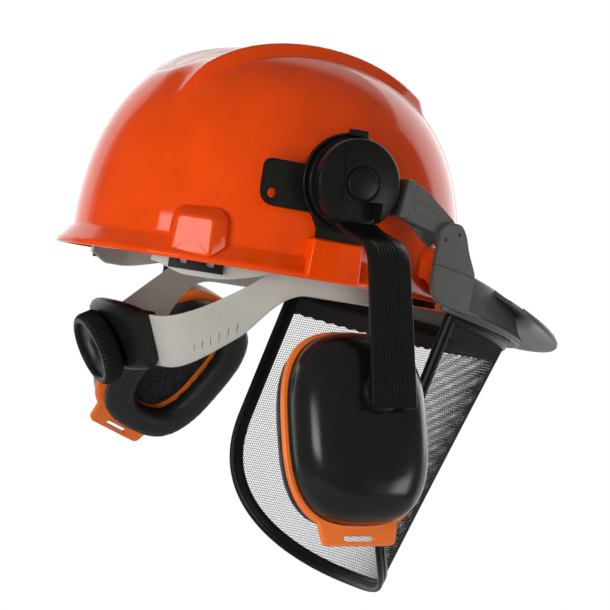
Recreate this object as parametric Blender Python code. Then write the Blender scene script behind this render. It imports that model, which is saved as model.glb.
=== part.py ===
"""Hard hat with swing-arm ear muffs, a fold-up mesh visor and a ratchet headband.

Metres. +X is the way the wearer faces, +Y is the wearer's left, +Z is up.
The origin is the middle of the head opening, in the plane of the brim.
"""
import math

import bmesh
import bpy
import numpy as np
from mathutils import Matrix, Vector

# Fits
GAP = 0.0003
RUNNING_GAP = 0.0006

# Shell
DOME_HALF_LENGTH = 0.1255
DOME_HALF_WIDTH = 0.104
DOME_HEIGHT = 0.140
DOME_FULLNESS = 2.46
SHELL_WALL = 0.0026
BRIM_RISE = 0.0095
BRIM_LOW = -0.004
BRIM_REACH = 0.009
BRIM_LIP = 0.0032
PEAK_REACH = 0.008
PEAK_DROOP = 0.007
RIDGE_HALF_WIDTH = 0.040
RIDGE_FOOT_RUN = 0.009
RIDGE_REAR = -0.098
RIDGE_RISEN = -0.074
RIDGE_FRONT = 0.072
RIDGE_STEP = 0.006
RIDGE_SINK = 0.003
RIDGE_DISH = 0.004
RIDGE_DISH_END = 0.010
BOSS_ANGLE = math.radians(50.0)
BOSS_HALF_WIDTH = 0.0175
BOSS_HEIGHT = 0.030
BOSS_STAND = 0.0075
SOCKET_HALF_WIDTH = 0.016
SOCKET_HEIGHT = 0.020
SOCKET_FORWARD = -0.004
SOCKET_WALL = 0.0045
SOCKET_FLOOR = 0.004

# Headband and its straps
BAND_HALF_LENGTH = 0.090
BAND_FORWARD = 0.006
BAND_HALF_WIDTH = 0.078
BAND_THICK = 0.0016
BAND_LOW = -0.013
BAND_HIGH = 0.017
TAIL_DROP = 0.057
TAIL_HEIGHT = 0.029
TAIL_LEAN = math.radians(30.0)
TAIL_START = math.radians(80.0)
TAIL_SETTLED = math.radians(154.0)
TAIL_FORK = math.radians(92.0)
TAIL_BLEND = 0.33
REAR_TAB_BLEND = 0.62
REAR_TAB_LOW = -0.012
REAR_TAB_HIGH = 0.003
REAR_TAB_END = math.radians(146.0)
CLIP_THICK = 0.0042
CLIP_HALF_ANGLE = math.radians(8.5)
CLIP_LOW = -0.0095
CLIP_HIGH = 0.009
STRAP_WIDTH = 0.019
STRAP_THICK = 0.0014
STRAP_HEADROOM = 0.025
SWEATBAND_THICK = 0.0045
SWEATBAND_HALF_ANGLE = math.radians(62.0)
SWEATBAND_MARGIN = 0.002
SWEATBAND_ROUND = 0.002

# Ratchet
RATCHET_HALF_WIDTH = 0.031
RATCHET_HEIGHT = 0.038
RATCHET_DEPTH = 0.012
RATCHET_BACK_THICK = 0.003
KNOB_RADIUS = 0.0235
KNOB_THICK = 0.013
KNOB_FLUTES = 16
KNOB_FLUTE_DEPTH = 0.0011
PINION_RADIUS = 0.0045
SHAFT_RADIUS = 0.0035

# Muff bracket and drum
FLANGE_STANDOFF = 0.0015
FLANGE_THICK = 0.004
FLANGE_RADIUS = 0.030
DRUM_FORWARD = -0.002
DRUM_HEIGHT = 0.056
DRUM_RADIUS = 0.0275
DRUM_FACE_RADIUS = 0.0268
DRUM_THICK = 0.0175
BUTTON_RADIUS = 0.0098
BUTTON_THICK = 0.0035
FLAG_REACH = 0.0555
FLAG_HEIGHT = 0.028
FLAG_DROP = 0.007
FLAG_HOLE_RADIUS = 0.003
NECK_HALF_WIDTH = 0.012

# Muff arm
ARM_WIDTH = 0.0275
ARM_THICK = 0.0034
ARM_GROOVES = 5
ARM_GROOVE_DEPTH = 0.0008
ARM_OUT = 0.030
ARM_SHOULDER_DROP = 0.030
ARM_LENGTH = 0.124
ARM_TOE_IN = 0.003
FLARE_OUT = 0.012
FLARE_DROP = 0.016

# Muff cup
PIVOT_RADIUS = 0.0115
PIVOT_THICK = 0.005
PIVOT_ABOVE_ARM_END = 0.009
CUP_HALF_WIDTH = 0.0417
CUP_HALF_HEIGHT = 0.0556
CUP_FULLNESS = 2.9
CUP_DEPTH = 0.030
CUP_WALL = 0.0025
CUP_BEHIND_PIVOT = 0.003
CUP_BELOW_PIVOT = 0.016
RING_THICK = 0.005
RING_LIP = 0.0026
RING_BAND = 0.018
PULL_HALF_WIDTH = 0.0265
PULL_REACH = 0.0115
PULL_SLOT_HALF_WIDTH = 0.0115
PULL_SLOT_HEIGHT = 0.003
CUSHION_THICK = 0.017
CUSHION_BAND = 0.020
FOAM_THICK = 0.006
PARK_TILT = {"right": math.radians(4.0), "left": math.radians(14.0)}
FLARE_REST = {"right": math.radians(18.0), "left": math.radians(31.0)}
SWIVEL_REST = {"right": math.radians(-2.0), "left": math.radians(35.0)}

# Visor
VISOR_STANDOFF = 0.0175
VISOR_PIVOT_FORWARD = 0.064
VISOR_PIVOT_HEIGHT = 0.035
VISOR_PIVOT_RADIUS = 0.0085
VISOR_PIN_RADIUS = 0.003
VISOR_ARM_THICK = 0.0036
VISOR_ARM_HALF_WIDTH = 0.0065
BROW_THICK = 0.003
BROW_FRONT = 0.1762
BROW_RAKE = 0.5
BROW_SPAN = math.radians(70.7)
BROW_END_AHEAD = 0.005
BROW_TOP_SIDE = 0.016
BROW_TOP_FRONT = 0.0085
BROW_LOW_SIDE = -0.002
BROW_LOW_FRONT = -0.022
BILL_REACH = 0.028
BILL_FALL = 0.022
BILL_DROP = 0.010
BILL_THICK = 0.0024
BILL_SPAN = math.radians(58.0)
LINK_REAR_INSET = 0.002
LINK_TOP_INSET = 0.006
LINK_CORNER = 0.004
SCREEN_THICK = 0.001
SCREEN_TILT = 0.416
SCREEN_TAPER = 0.272
SCREEN_TUCK = 0.004
SCREEN_SPAN = math.radians(67.35)
SCREEN_BOTTOM = -0.1963
SCREEN_SHOULDER = -0.0998
SCREEN_CLEAR = 0.0035
SCREEN_OPENINGS_ACROSS = 12
SCREEN_OPENINGS_DOWN = 10
SCREEN_BAR_SHARE = 0.12
EDGING_WIDTH = 0.008
EDGING_THICK = 0.0032

SIDES = {"right": -1.0, "left": 1.0}


def finish(name, colour, roughness, metallic=0.0):
    """A plain surface finish."""
    material = bpy.data.materials.new(name)
    material.use_nodes = True
    shader = material.node_tree.nodes["Principled BSDF"]
    shader.inputs["Base Color"].default_value = (*colour, 1.0)
    shader.inputs["Roughness"].default_value = roughness
    shader.inputs["Metallic"].default_value = metallic
    return material


def smooth(value):
    """An S-curve from 0 to 1."""
    value = np.clip(value, 0.0, 1.0)
    return value * value * (3.0 - 2.0 * value)


def add_empty(name, parent=None, location=(0.0, 0.0, 0.0), rotation=(0.0, 0.0, 0.0)):
    """A pivot that pieces hang on."""
    empty = bpy.data.objects.new(name, None)
    bpy.context.collection.objects.link(empty)
    empty.parent = parent
    empty.location = location
    empty.rotation_euler = rotation
    return empty


def add_piece(name, shape, material=None, parent=None, is_sheet=False):
    """An object from (points, faces). A closed shape gets its faces turned outward."""
    points, faces = shape
    mesh = bpy.data.meshes.new(name)
    mesh.from_pydata([tuple(point) for point in points], [], faces)
    if not is_sheet:
        work = bmesh.new()
        work.from_mesh(mesh)
        bmesh.ops.recalc_face_normals(work, faces=work.faces)
        work.to_mesh(mesh)
        work.free()
    mesh.shade_smooth()
    mesh.set_sharp_from_angle(angle=math.radians(35.0))
    piece = bpy.data.objects.new(name, mesh)
    bpy.context.collection.objects.link(piece)
    piece.parent = parent
    if material is not None:
        mesh.materials.append(material)
    return piece


def add_sheet(name, grid, thick, material, parent=None, keep=None, wrap=False):
    """A sheet through a grid of points, thickened equally to both sides."""
    piece = add_piece(name, grid_faces(grid, keep, wrap), material, parent, is_sheet=True)
    work = bmesh.new()
    work.from_mesh(piece.data)
    loose = [vertex for vertex in work.verts if not vertex.link_faces]
    bmesh.ops.delete(work, geom=loose, context="VERTS")
    work.to_mesh(piece.data)
    work.free()
    solidify = piece.modifiers.new("Thickness", "SOLIDIFY")
    solidify.thickness = thick
    solidify.offset = 0.0
    solidify.use_even_offset = True
    return piece


def combine(piece, tool_name, shape, operation, parent=None):
    """Join a shape to a piece, or cut it away, with a hidden tool."""
    tool = add_piece(piece.name + "_" + tool_name, shape, None, parent)
    tool.hide_render = True
    tool.display_type = "WIRE"
    boolean = piece.modifiers.new(tool_name, "BOOLEAN")
    boolean.operation = operation
    boolean.solver = "EXACT"
    boolean.object = tool
    return tool


def soften(piece, width, segments=1):
    """Round a piece's sharp edges."""
    bevel = piece.modifiers.new("Edges", "BEVEL")
    bevel.width = width
    bevel.segments = segments
    bevel.limit_method = "ANGLE"
    bevel.angle_limit = math.radians(50.0)


def grid_faces(grid, keep=None, wrap=False):
    """Points and faces of a grid; keep masks its cells, wrap joins the last column to the first."""
    columns, rows = grid.shape[:2]
    faces = []
    for i in range(columns if wrap else columns - 1):
        j_next = (i + 1) % columns
        for j in range(rows - 1):
            if keep is None or keep[i, j]:
                faces.append((i * rows + j, j_next * rows + j, j_next * rows + j + 1, i * rows + j + 1))
    return grid.reshape(-1, 3), faces


def loft(loops, capped=True, closed=False):
    """Skin a row of equal loops; closed joins the last loop to the first."""
    loops = np.asarray(loops, dtype=float)
    count, size = loops.shape[:2]
    faces = []
    for i in range(count if closed else count - 1):
        after = (i + 1) % count
        for j in range(size):
            k = (j + 1) % size
            faces.append((i * size + j, i * size + k, after * size + k, after * size + j))
    if capped and not closed:
        faces.append(tuple(range(size)))
        faces.append(tuple(range((count - 1) * size, count * size)))
    return loops.reshape(-1, 3), faces


def turned(profile, steps):
    """Turn (radius, height) points about the height axis. Both ends are flat discs."""
    angles = np.linspace(0.0, 2.0 * math.pi, steps, endpoint=False)
    loops = [np.column_stack((r * np.cos(angles), r * np.sin(angles), np.full(steps, h)))
             for r, h in profile]
    return loft(loops)


def plate(outline, low, high):
    """A flat outline carried from one height to another."""
    outline = np.asarray(outline, dtype=float)
    loops = [np.column_stack((outline, np.full(len(outline), h))) for h in (low, high)]
    return loft(loops)


def block(corner, opposite):
    """A box between two corners."""
    (x0, y0, z0), (x1, y1, z1) = corner, opposite
    return plate([(x0, y0), (x1, y0), (x1, y1), (x0, y1)], z0, z1)


def rounded(corners, radius, steps=4):
    """A polygon with each corner replaced by an arc."""
    corners = [Vector(corner) for corner in corners]
    outline = []
    for i, corner in enumerate(corners):
        before = (corners[i - 1] - corner).normalized()
        after = (corners[(i + 1) % len(corners)] - corner).normalized()
        half = before.angle(after) / 2.0
        centre = corner + (before + after).normalized() * (radius / math.sin(half))
        start = corner + before * (radius / math.tan(half)) - centre
        end = corner + after * (radius / math.tan(half)) - centre
        turn = start.angle_signed(end)
        for step in range(steps + 1):
            outline.append(tuple(centre + Matrix.Rotation(-turn * step / steps, 2) @ start))
    return outline


def outward(shape, side):
    """Stand a shape drawn as (forward, up, out) on a side of the helmet."""
    points, faces = shape
    points = np.asarray(points, dtype=float)
    return np.column_stack((points[:, 0], side * points[:, 2], points[:, 1])), faces


def moved(shape, offset):
    """A shape shifted by an offset."""
    points, faces = shape
    return np.asarray(points, dtype=float) + np.asarray(offset), faces


# Shell
SHELL_STEPS = 48
DOME_RINGS = 9
NEARLY_TOP = math.radians(88.0)
DEEP = 0.030


def dome_height(x, y):
    """Height of the dome's outer face above a place in plan."""
    reach = min(math.hypot(x / DOME_HALF_LENGTH, y / DOME_HALF_WIDTH), 1.0)
    return DOME_HEIGHT * (1.0 - reach ** DOME_FULLNESS) ** (1.0 / DOME_FULLNESS)


def plan_loop(half_length, half_width, height, peak=0.0, droop=0.0):
    """An ellipse in plan, longer and lower at the front by the peak's reach and droop."""
    angles = np.linspace(0.0, 2.0 * math.pi, SHELL_STEPS, endpoint=False)
    front = np.clip(np.cos(angles), 0.0, None) ** 2
    return np.column_stack(((half_length + peak * front) * np.cos(angles),
                            half_width * np.sin(angles), height - droop * front))


def dome_loops(inset):
    """The dome's rings from the crown down to the root of the brim."""
    root = math.asin(BRIM_RISE / DOME_HEIGHT)
    loops = []
    power = 2.0 / DOME_FULLNESS
    for turn in np.linspace(NEARLY_TOP, root, DOME_RINGS):
        reach = math.cos(turn) ** power
        rise = math.sin(turn) ** power
        loops.append(plan_loop((DOME_HALF_LENGTH - inset) * reach, (DOME_HALF_WIDTH - inset) * reach,
                               (DOME_HEIGHT - inset) * rise))
    return loops


def brim_loop(reach, height):
    """A ring of the brim at a reach outside the dome."""
    return plan_loop(DOME_HALF_LENGTH + reach, DOME_HALF_WIDTH + reach, height,
                     PEAK_REACH, PEAK_DROOP)


def outer_form():
    """The dome with its brim, as one solid."""
    rings = dome_loops(0.0)
    rings += [brim_loop(BRIM_REACH, BRIM_LOW + BRIM_LIP), brim_loop(BRIM_REACH, BRIM_LOW),
              brim_loop(-DEEP, BRIM_LOW)]
    return loft(rings)


def hollow_form():
    """What is taken out of the outer form: the head space, flared under the brim."""
    rings = dome_loops(SHELL_WALL)
    flare = BRIM_REACH - SHELL_WALL
    lip = BRIM_LOW + BRIM_LIP
    under = lip + (BRIM_RISE - lip) * SHELL_WALL / BRIM_REACH - SHELL_WALL
    rings += [brim_loop(flare, under), brim_loop(flare, -DEEP)]
    return loft(rings)


def ridge_step(x):
    """How far the ridge's edge stands above the dome: it rises out of the dome at the rear."""
    risen = float(smooth((x - RIDGE_REAR) / (RIDGE_RISEN - RIDGE_REAR)))
    return RIDGE_STEP * risen - RIDGE_SINK * (1.0 - risen)


def ridge_form(inset, rear):
    """The crown ridge: a broad band over the dome, level across, dished toward the rear."""
    loops = []
    half = RIDGE_HALF_WIDTH - inset
    foot = RIDGE_HALF_WIDTH + RIDGE_FOOT_RUN - inset
    for x in np.linspace(rear, RIDGE_FRONT - inset, 13):
        edge = dome_height(x, half) + ridge_step(x) - inset
        toe = dome_height(x, foot) - RIDGE_SINK
        low = toe - DEEP / 2.0
        dish = RIDGE_DISH * float(smooth((RIDGE_DISH_END - x) / (RIDGE_DISH_END - RIDGE_RISEN)))
        crown = max(edge, dome_height(x, 0.0) - inset) - dish
        loops.append([(x, -foot, low), (x, -foot, toe), (x, -half, edge), (x, 0.0, crown),
                      (x, half, edge), (x, foot, toe), (x, foot, low)])
    return loft(loops)


def boss_form(angle):
    """A corner boss: a block on the dome wall with sloped cheeks and top."""
    place = Vector((DOME_HALF_LENGTH * math.cos(angle), DOME_HALF_WIDTH * math.sin(angle), 0.0))
    away = Vector((place.x / DOME_HALF_LENGTH ** 2, place.y / DOME_HALF_WIDTH ** 2, 0.0)).normalized()
    along = Vector((-away.y, away.x, 0.0))
    slope = BOSS_STAND * 0.7
    loops = []
    for out, spread in ((-DEEP / 2.0, 2.0 * slope), (BOSS_STAND, 0.0)):
        centre = place + away * out
        half = BOSS_HALF_WIDTH + spread
        narrow = half * 0.9
        top = BOSS_HEIGHT + spread
        corners = ((-half, 0.0), (half, 0.0), (narrow, top), (-narrow, top))
        loops.append([centre + along * across + Vector((0.0, 0.0, height)) for across, height in corners])
    return loft(loops)


def flange_inner():
    """How far out the muff bracket's back face stands."""
    return DOME_HALF_WIDTH + FLANGE_STANDOFF


def build_shell(orange):
    """The shell: dome, brim, ridge, corner bosses and side sockets, hollowed from below."""
    shell = add_piece("shell", outer_form(), orange)
    combine(shell, "ridge", ridge_form(0.0, RIDGE_REAR), "UNION")
    corners = (BOSS_ANGLE, math.pi - BOSS_ANGLE, math.pi + BOSS_ANGLE, -BOSS_ANGLE)
    for index, angle in enumerate(corners):
        combine(shell, "boss_%d" % index, boss_form(angle), "UNION")
    tongue = flange_inner()
    face = tongue + FLANGE_THICK
    for name, side in SIDES.items():
        low = BRIM_LOW + BRIM_LIP / 2.0
        socket = block((SOCKET_FORWARD - SOCKET_HALF_WIDTH, low, DOME_HALF_WIDTH - DEEP / 2.0),
                       (SOCKET_FORWARD + SOCKET_HALF_WIDTH, SOCKET_HEIGHT, face + SOCKET_WALL))
        combine(shell, "socket_" + name, outward(socket, side), "UNION")
    combine(shell, "hollow", hollow_form(), "DIFFERENCE")
    combine(shell, "ridge_hollow", ridge_form(SHELL_WALL, 0.0), "DIFFERENCE")
    for name, side in SIDES.items():
        slot = block((DRUM_FORWARD - NECK_HALF_WIDTH - GAP, SOCKET_FLOOR, tongue - GAP),
                     (DRUM_FORWARD + NECK_HALF_WIDTH + GAP, SOCKET_HEIGHT + DEEP, face + GAP))
        combine(shell, "slot_" + name, outward(slot, side), "DIFFERENCE")


# Headband, straps and ratchet

def band_points(angle, height, half_length, half_width, lean=0.0, middle=0.0, ahead=BAND_FORWARD):
    """Places on an elliptical band round the head; lean draws lower places in toward the neck."""
    drawn_in = (middle - height) * np.tan(lean)
    return np.stack(np.broadcast_arrays(ahead + (half_length - drawn_in) * np.cos(angle),
                                        (half_width - drawn_in) * np.sin(angle), height), axis=-1)


def tail_middle(angle):
    """Height of the middle of the nape strap at an angle from the front."""
    settled = smooth((np.abs(angle) - TAIL_START) / (TAIL_SETTLED - TAIL_START))
    return (BAND_LOW + BAND_HIGH) / 2.0 - TAIL_DROP * settled


def tail_lean(angle):
    """Lean of the nape strap at an angle from the front."""
    return TAIL_LEAN * smooth((np.abs(angle) - TAIL_START) / (TAIL_SETTLED - TAIL_START))


def clip_radii():
    """Half length and half width of the ring that the suspension clips stand on."""
    inside = SHELL_WALL + 2.0 * RUNNING_GAP + CLIP_THICK / 2.0
    return DOME_HALF_LENGTH - inside, DOME_HALF_WIDTH - inside


def build_headband(grey):
    """One moulding: the band round the forehead, two nape straps, and a tab to each rear clip."""
    front_columns = 19
    tail_columns = 12
    tail_end = math.pi - math.asin((PINION_RADIUS + 2.0 * RUNNING_GAP) / BAND_HALF_WIDTH)
    front = np.linspace(-TAIL_FORK, TAIL_FORK, front_columns)
    part = np.linspace(0.0, 1.0, tail_columns + 1)[1:]
    tail = TAIL_FORK + (tail_end - TAIL_FORK) * part
    tab = TAIL_FORK + (REAR_TAB_END - TAIL_FORK) * part
    lower = np.concatenate((-tail[::-1], front, tail))
    upper = np.concatenate((-tab[::-1], front, tab))
    share = np.concatenate((part[::-1], np.zeros(front_columns), part))
    blend = smooth(share / REAR_TAB_BLEND)
    dropped = smooth(share / TAIL_BLEND)
    rows = np.linspace(BAND_LOW, BAND_HIGH, 6)
    middle = tail_middle(lower)
    clip_length, clip_width = clip_radii()
    tab_inset = CLIP_THICK / 2.0 + GAP + BAND_THICK / 2.0
    grid = np.zeros((len(lower), 6, 3))
    for row in range(3):
        level = middle + TAIL_HEIGHT * (row - 1) / 2.0
        height = rows[row] + (level - rows[row]) * dropped
        lean = tail_lean(lower) * dropped
        grid[:, row] = band_points(lower, height, BAND_HALF_LENGTH, BAND_HALF_WIDTH, lean, middle)
    for row in range(3, 6):
        level = REAR_TAB_LOW + (REAR_TAB_HIGH - REAR_TAB_LOW) * (row - 3) / 2.0
        height = rows[row] + (level - rows[row]) * blend
        half_length = BAND_HALF_LENGTH + (clip_length - tab_inset - BAND_HALF_LENGTH) * blend
        half_width = BAND_HALF_WIDTH + (clip_width - tab_inset - BAND_HALF_WIDTH) * blend
        grid[:, row] = band_points(upper, height, half_length, half_width,
                                   ahead=BAND_FORWARD * (1.0 - blend))
    keep = np.ones((len(lower) - 1, 5), dtype=bool)
    keep[:tail_columns, 2] = False
    keep[-tail_columns:, 2] = False
    add_sheet("headband", grid, BAND_THICK, grey, keep=keep)


def build_sweatband(soft_black):
    """The padded strip behind the forehead: a crowned closed strip."""
    inner = BAND_THICK / 2.0 + 2.0 * RUNNING_GAP
    low = BAND_LOW + SWEATBAND_MARGIN
    high = BAND_HIGH - SWEATBAND_MARGIN
    shoulder = inner + SWEATBAND_THICK * 0.7
    profile = [(inner, low + SWEATBAND_ROUND), (shoulder, low),
               (inner + SWEATBAND_THICK, (low + high) / 2.0),
               (shoulder, high), (inner, high - SWEATBAND_ROUND)]
    loops = []
    for angle in np.linspace(-SWEATBAND_HALF_ANGLE, SWEATBAND_HALF_ANGLE, 14):
        loops.append([band_points(angle, height, BAND_HALF_LENGTH - inset, BAND_HALF_WIDTH - inset)
                      for inset, height in profile])
    add_piece("sweatband", loft(loops), soft_black)


def build_clips(dark):
    """Four suspension clips inside the corner bosses, each with two windows."""
    half_length, half_width = clip_radii()
    columns = np.linspace(-1.0, 1.0, 7)
    rows = np.array([0.0, 0.18, 0.5, 1.0]) * (CLIP_HIGH - CLIP_LOW) + CLIP_LOW
    keep = np.ones((6, 3), dtype=bool)
    keep[[1, 4], 1] = False
    for end, middle in (("front", BOSS_ANGLE), ("rear", math.pi - BOSS_ANGLE)):
        for name, side in SIDES.items():
            angle = side * (middle + columns * CLIP_HALF_ANGLE)
            grid = band_points(angle[:, None], rows[None, :], half_length, half_width, ahead=0.0)
            add_sheet("suspension_clip_%s_%s" % (end, name), grid, CLIP_THICK, dark, keep=keep)


def build_crown_straps(webbing):
    """Two woven straps that cross over the head, from clip to clip."""
    half_length, half_width = clip_radii()
    start = Vector((half_length * math.cos(BOSS_ANGLE), half_width * math.sin(BOSS_ANGLE)))
    reach = start.length - STRAP_THICK
    base = CLIP_HIGH + 4.0 * GAP
    for index, turn in enumerate((1.0, -1.0)):
        heading = Vector((start.x, turn * start.y)).normalized()
        across = Vector((-heading.y, heading.x))
        lower = index * (STRAP_THICK + 2.0 * RUNNING_GAP)
        rise = DOME_HEIGHT - SHELL_WALL - STRAP_HEADROOM - base - lower
        angles = np.linspace(0.0, math.pi, 19)
        offsets = np.array([-0.5, 0.5]) * STRAP_WIDTH
        grid = np.zeros((len(angles), 2, 3))
        along = (reach * np.cos(angles))[:, None]
        for axis in range(2):
            grid[:, :, axis] = along * heading[axis] + offsets[None, :] * across[axis]
        grid[:, :, 2] = (base + rise * np.sin(angles))[:, None]
        add_sheet("crown_strap_" + "ab"[index], grid, STRAP_THICK, webbing)


def ratchet_shell(offset, half_width, height, columns=9, rows=4):
    """A patch of the nape strap's surface, pushed out by an offset."""
    span = math.asin(half_width / BAND_HALF_WIDTH)
    angle = np.linspace(math.pi - span, math.pi + span, columns)[:, None]
    middle = tail_middle(math.pi)
    level = (np.linspace(-0.5, 0.5, rows) * height + middle)[None, :]
    return band_points(angle, level, BAND_HALF_LENGTH + offset, BAND_HALF_WIDTH + offset,
                       TAIL_LEAN, middle)


def fluted(profile, steps, flutes, depth):
    """A turned shape whose rim points, marked in the profile, carry grip flutes."""
    angles = np.linspace(0.0, 2.0 * math.pi, steps, endpoint=False)
    wave = depth * (np.cos(angles * flutes) > 0.0)
    loops = []
    for radius, height, is_rim in profile:
        around = radius - wave * is_rim
        level = np.full(steps, height)
        loops.append(np.column_stack((around * np.cos(angles), around * np.sin(angles), level)))
    return loft(loops)


def build_ratchet(black, dark):
    """The size adjuster on the nape: back plate, cover, and a knob that turns a pinion."""
    axis = add_empty("ratchet_axis", None, (BAND_FORWARD - BAND_HALF_LENGTH, 0.0, tail_middle(math.pi)),
                     (0.0, -(math.pi / 2.0 + TAIL_LEAN), 0.0))
    behind = BAND_THICK / 2.0 + GAP
    square = math.cos(TAIL_LEAN)
    height = RATCHET_HEIGHT * square
    outside = (behind + RATCHET_DEPTH / 2.0) / square
    cover_grid = ratchet_shell(outside, RATCHET_HALF_WIDTH, height)
    cover = add_sheet("ratchet_cover", cover_grid, RATCHET_DEPTH, black)
    soften(cover, RATCHET_DEPTH / 5.0, 2)
    bore_radius = SHAFT_RADIUS + RUNNING_GAP
    bore = turned([(bore_radius, -RATCHET_DEPTH), (bore_radius, 3.0 * RATCHET_DEPTH)], 20)
    combine(cover, "bore", bore, "DIFFERENCE", axis)
    inside = -(behind + RATCHET_BACK_THICK / 2.0) / square
    back_grid = ratchet_shell(inside, RATCHET_HALF_WIDTH, height)
    add_sheet("ratchet_back", back_grid, RATCHET_BACK_THICK, dark)
    seat = behind + RATCHET_DEPTH + RUNNING_GAP
    top = seat + KNOB_THICK
    edge = KNOB_THICK * 0.16
    knob = [(KNOB_RADIUS - edge, seat, 1), (KNOB_RADIUS, seat + edge, 1), (KNOB_RADIUS, top - edge, 1),
            (KNOB_RADIUS - edge, top, 0), (KNOB_RADIUS * 0.8, top, 0),
            (KNOB_RADIUS * 0.76, top - edge / 2.0, 0)]
    grip = fluted(knob, KNOB_FLUTES * 4, KNOB_FLUTES, KNOB_FLUTE_DEPTH)
    add_piece("ratchet_knob", grip, black, axis)
    pinion = [(PINION_RADIUS, -BAND_THICK / 2.0), (PINION_RADIUS, BAND_THICK / 2.0),
              (SHAFT_RADIUS, BAND_THICK / 2.0), (SHAFT_RADIUS, seat - GAP)]
    add_piece("ratchet_pinion", turned(pinion, 20), dark, axis)


# Ear muffs

def superellipse(half_width, half_height, steps=28, power=CUP_FULLNESS):
    """The cup's outline: fuller than an ellipse."""
    angles = np.linspace(0.0, 2.0 * math.pi, steps, endpoint=False)
    cosine, sine = np.cos(angles), np.sin(angles)
    return np.column_stack((half_width * np.sign(cosine) * np.abs(cosine) ** (2.0 / power),
                            half_height * np.sign(sine) * np.abs(sine) ** (2.0 / power)))


def cup_loop(inset, out):
    """The cup's outline drawn in by an inset, at a distance out along the pivot axis."""
    outline = superellipse(CUP_HALF_WIDTH - inset, CUP_HALF_HEIGHT - inset)
    return np.column_stack((outline[:, 0] - CUP_BEHIND_PIVOT, outline[:, 1] - CUP_BELOW_PIVOT,
                            np.full(len(outline), out)))


def cup_form():
    """The hollow cup: a domed outer face, straight cheeks, and an open inner side."""
    face = -(PIVOT_THICK + GAP)
    rim = face - CUP_DEPTH
    dome = ((0.55, 0.0), (0.30, 0.07), (0.13, 0.24), (0.035, 0.5), (0.0, 0.78))
    outside = [cup_loop(CUP_HALF_WIDTH * draw, face - CUP_DEPTH * deep) for draw, deep in dome]
    roof = face - CUP_WALL
    inside = [cup_loop(CUP_HALF_WIDTH * draw + CUP_WALL, roof - (CUP_DEPTH - CUP_WALL) * deep)
              for draw, deep in reversed(dome)]
    return loft(outside + [cup_loop(0.0, rim), cup_loop(CUP_WALL, rim)] + inside)


def ring_levels():
    """Where the orange ring starts and ends along the pivot axis."""
    start = -(PIVOT_THICK + CUP_DEPTH + 2.0 * GAP)
    return start, start - RING_THICK


def build_ring(name, side, parent, orange):
    """The ring between cup and cushion, with a slotted pull tab below."""
    start, end = ring_levels()
    loops = [cup_loop(-RING_LIP, start), cup_loop(-RING_LIP, end),
             cup_loop(RING_BAND, end), cup_loop(RING_BAND, start)]
    ring = add_piece("cup_ring_" + name, outward(loft(loops, closed=True), side), orange, parent)
    foot = -CUP_BELOW_PIVOT - CUP_HALF_HEIGHT
    middle = -CUP_BEHIND_PIVOT
    root = foot + RING_BAND / 2.0
    tip = foot - PULL_REACH
    narrow = PULL_HALF_WIDTH * 0.86
    corners = [(middle - PULL_HALF_WIDTH, root), (middle + PULL_HALF_WIDTH, root),
               (middle + narrow, tip), (middle - narrow, tip)]
    skin = RING_THICK * 0.1
    tab = plate(rounded(corners, PULL_REACH / 3.0), end + skin, start - skin)
    combine(ring, "tab", outward(tab, side), "UNION", parent)
    level = foot - PULL_REACH * 0.62
    slot = block((middle - PULL_SLOT_HALF_WIDTH, level - PULL_SLOT_HEIGHT / 2.0, end - RING_THICK),
                 (middle + PULL_SLOT_HALF_WIDTH, level + PULL_SLOT_HEIGHT / 2.0, start + RING_THICK))
    combine(ring, "slot", outward(slot, side), "DIFFERENCE", parent)


def cushion_form():
    """The cushion: a crowned pad round the ear, drawn in where it meets the ring."""
    base = ring_levels()[1] - GAP
    profile = ((0.07, 0.0), (0.0, 0.35), (0.05, 0.7), (0.20, 0.93), (0.45, 1.0),
               (0.70, 0.93), (0.90, 0.65), (0.98, 0.3), (0.92, 0.0))
    loops = [cup_loop(CUSHION_BAND * inset, base - CUSHION_THICK * deep) for inset, deep in profile]
    return loft(loops, closed=True)


def arm_path():
    """The arm's middle line from its root: out and down to the shoulder, then straight down."""
    shoulder = Vector((ARM_OUT, -ARM_SHOULDER_DROP))
    end = Vector((ARM_OUT - ARM_TOE_IN, -ARM_LENGTH))
    bend = ARM_OUT * 0.45
    before = -shoulder.normalized()
    after = (end - shoulder).normalized()
    half = before.angle(after) / 2.0
    centre = shoulder + (before + after).normalized() * (bend / math.sin(half))
    first = shoulder + before * (bend / math.tan(half)) - centre
    last = shoulder + after * (bend / math.tan(half)) - centre
    turn = first.angle_signed(last)
    curve = [centre + Matrix.Rotation(-turn * step / 5.0, 2) @ first for step in range(6)]
    return [Vector((0.0, 0.0))] + curve + [end]


def arm_section():
    """The strip's section as (across, thickness): a flat back and a grooved outer face."""
    half = ARM_WIDTH / 2.0
    face = ARM_THICK / 2.0
    pitch = ARM_WIDTH / (ARM_GROOVES + 1)
    points = [(-half, -face), (-half, face)]
    for groove in range(ARM_GROOVES):
        middle = -half + pitch * (groove + 1)
        points += [(middle - pitch * 0.3, face), (middle - pitch * 0.15, face - ARM_GROOVE_DEPTH),
                   (middle + pitch * 0.15, face - ARM_GROOVE_DEPTH), (middle + pitch * 0.3, face)]
    return points + [(half, face), (half, -face)]


def arm_form():
    """The ribbed arm: its section carried along its path."""
    path = arm_path()
    loops = []
    for index, point in enumerate(path):
        heading = (path[min(index + 1, len(path) - 1)] - path[max(index - 1, 0)]).normalized()
        away = Vector((-heading.y, heading.x))
        loops.append([(across, point.y + away.y * thick, point.x + away.x * thick)
                      for across, thick in arm_section()])
    return loft(loops)


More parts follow.
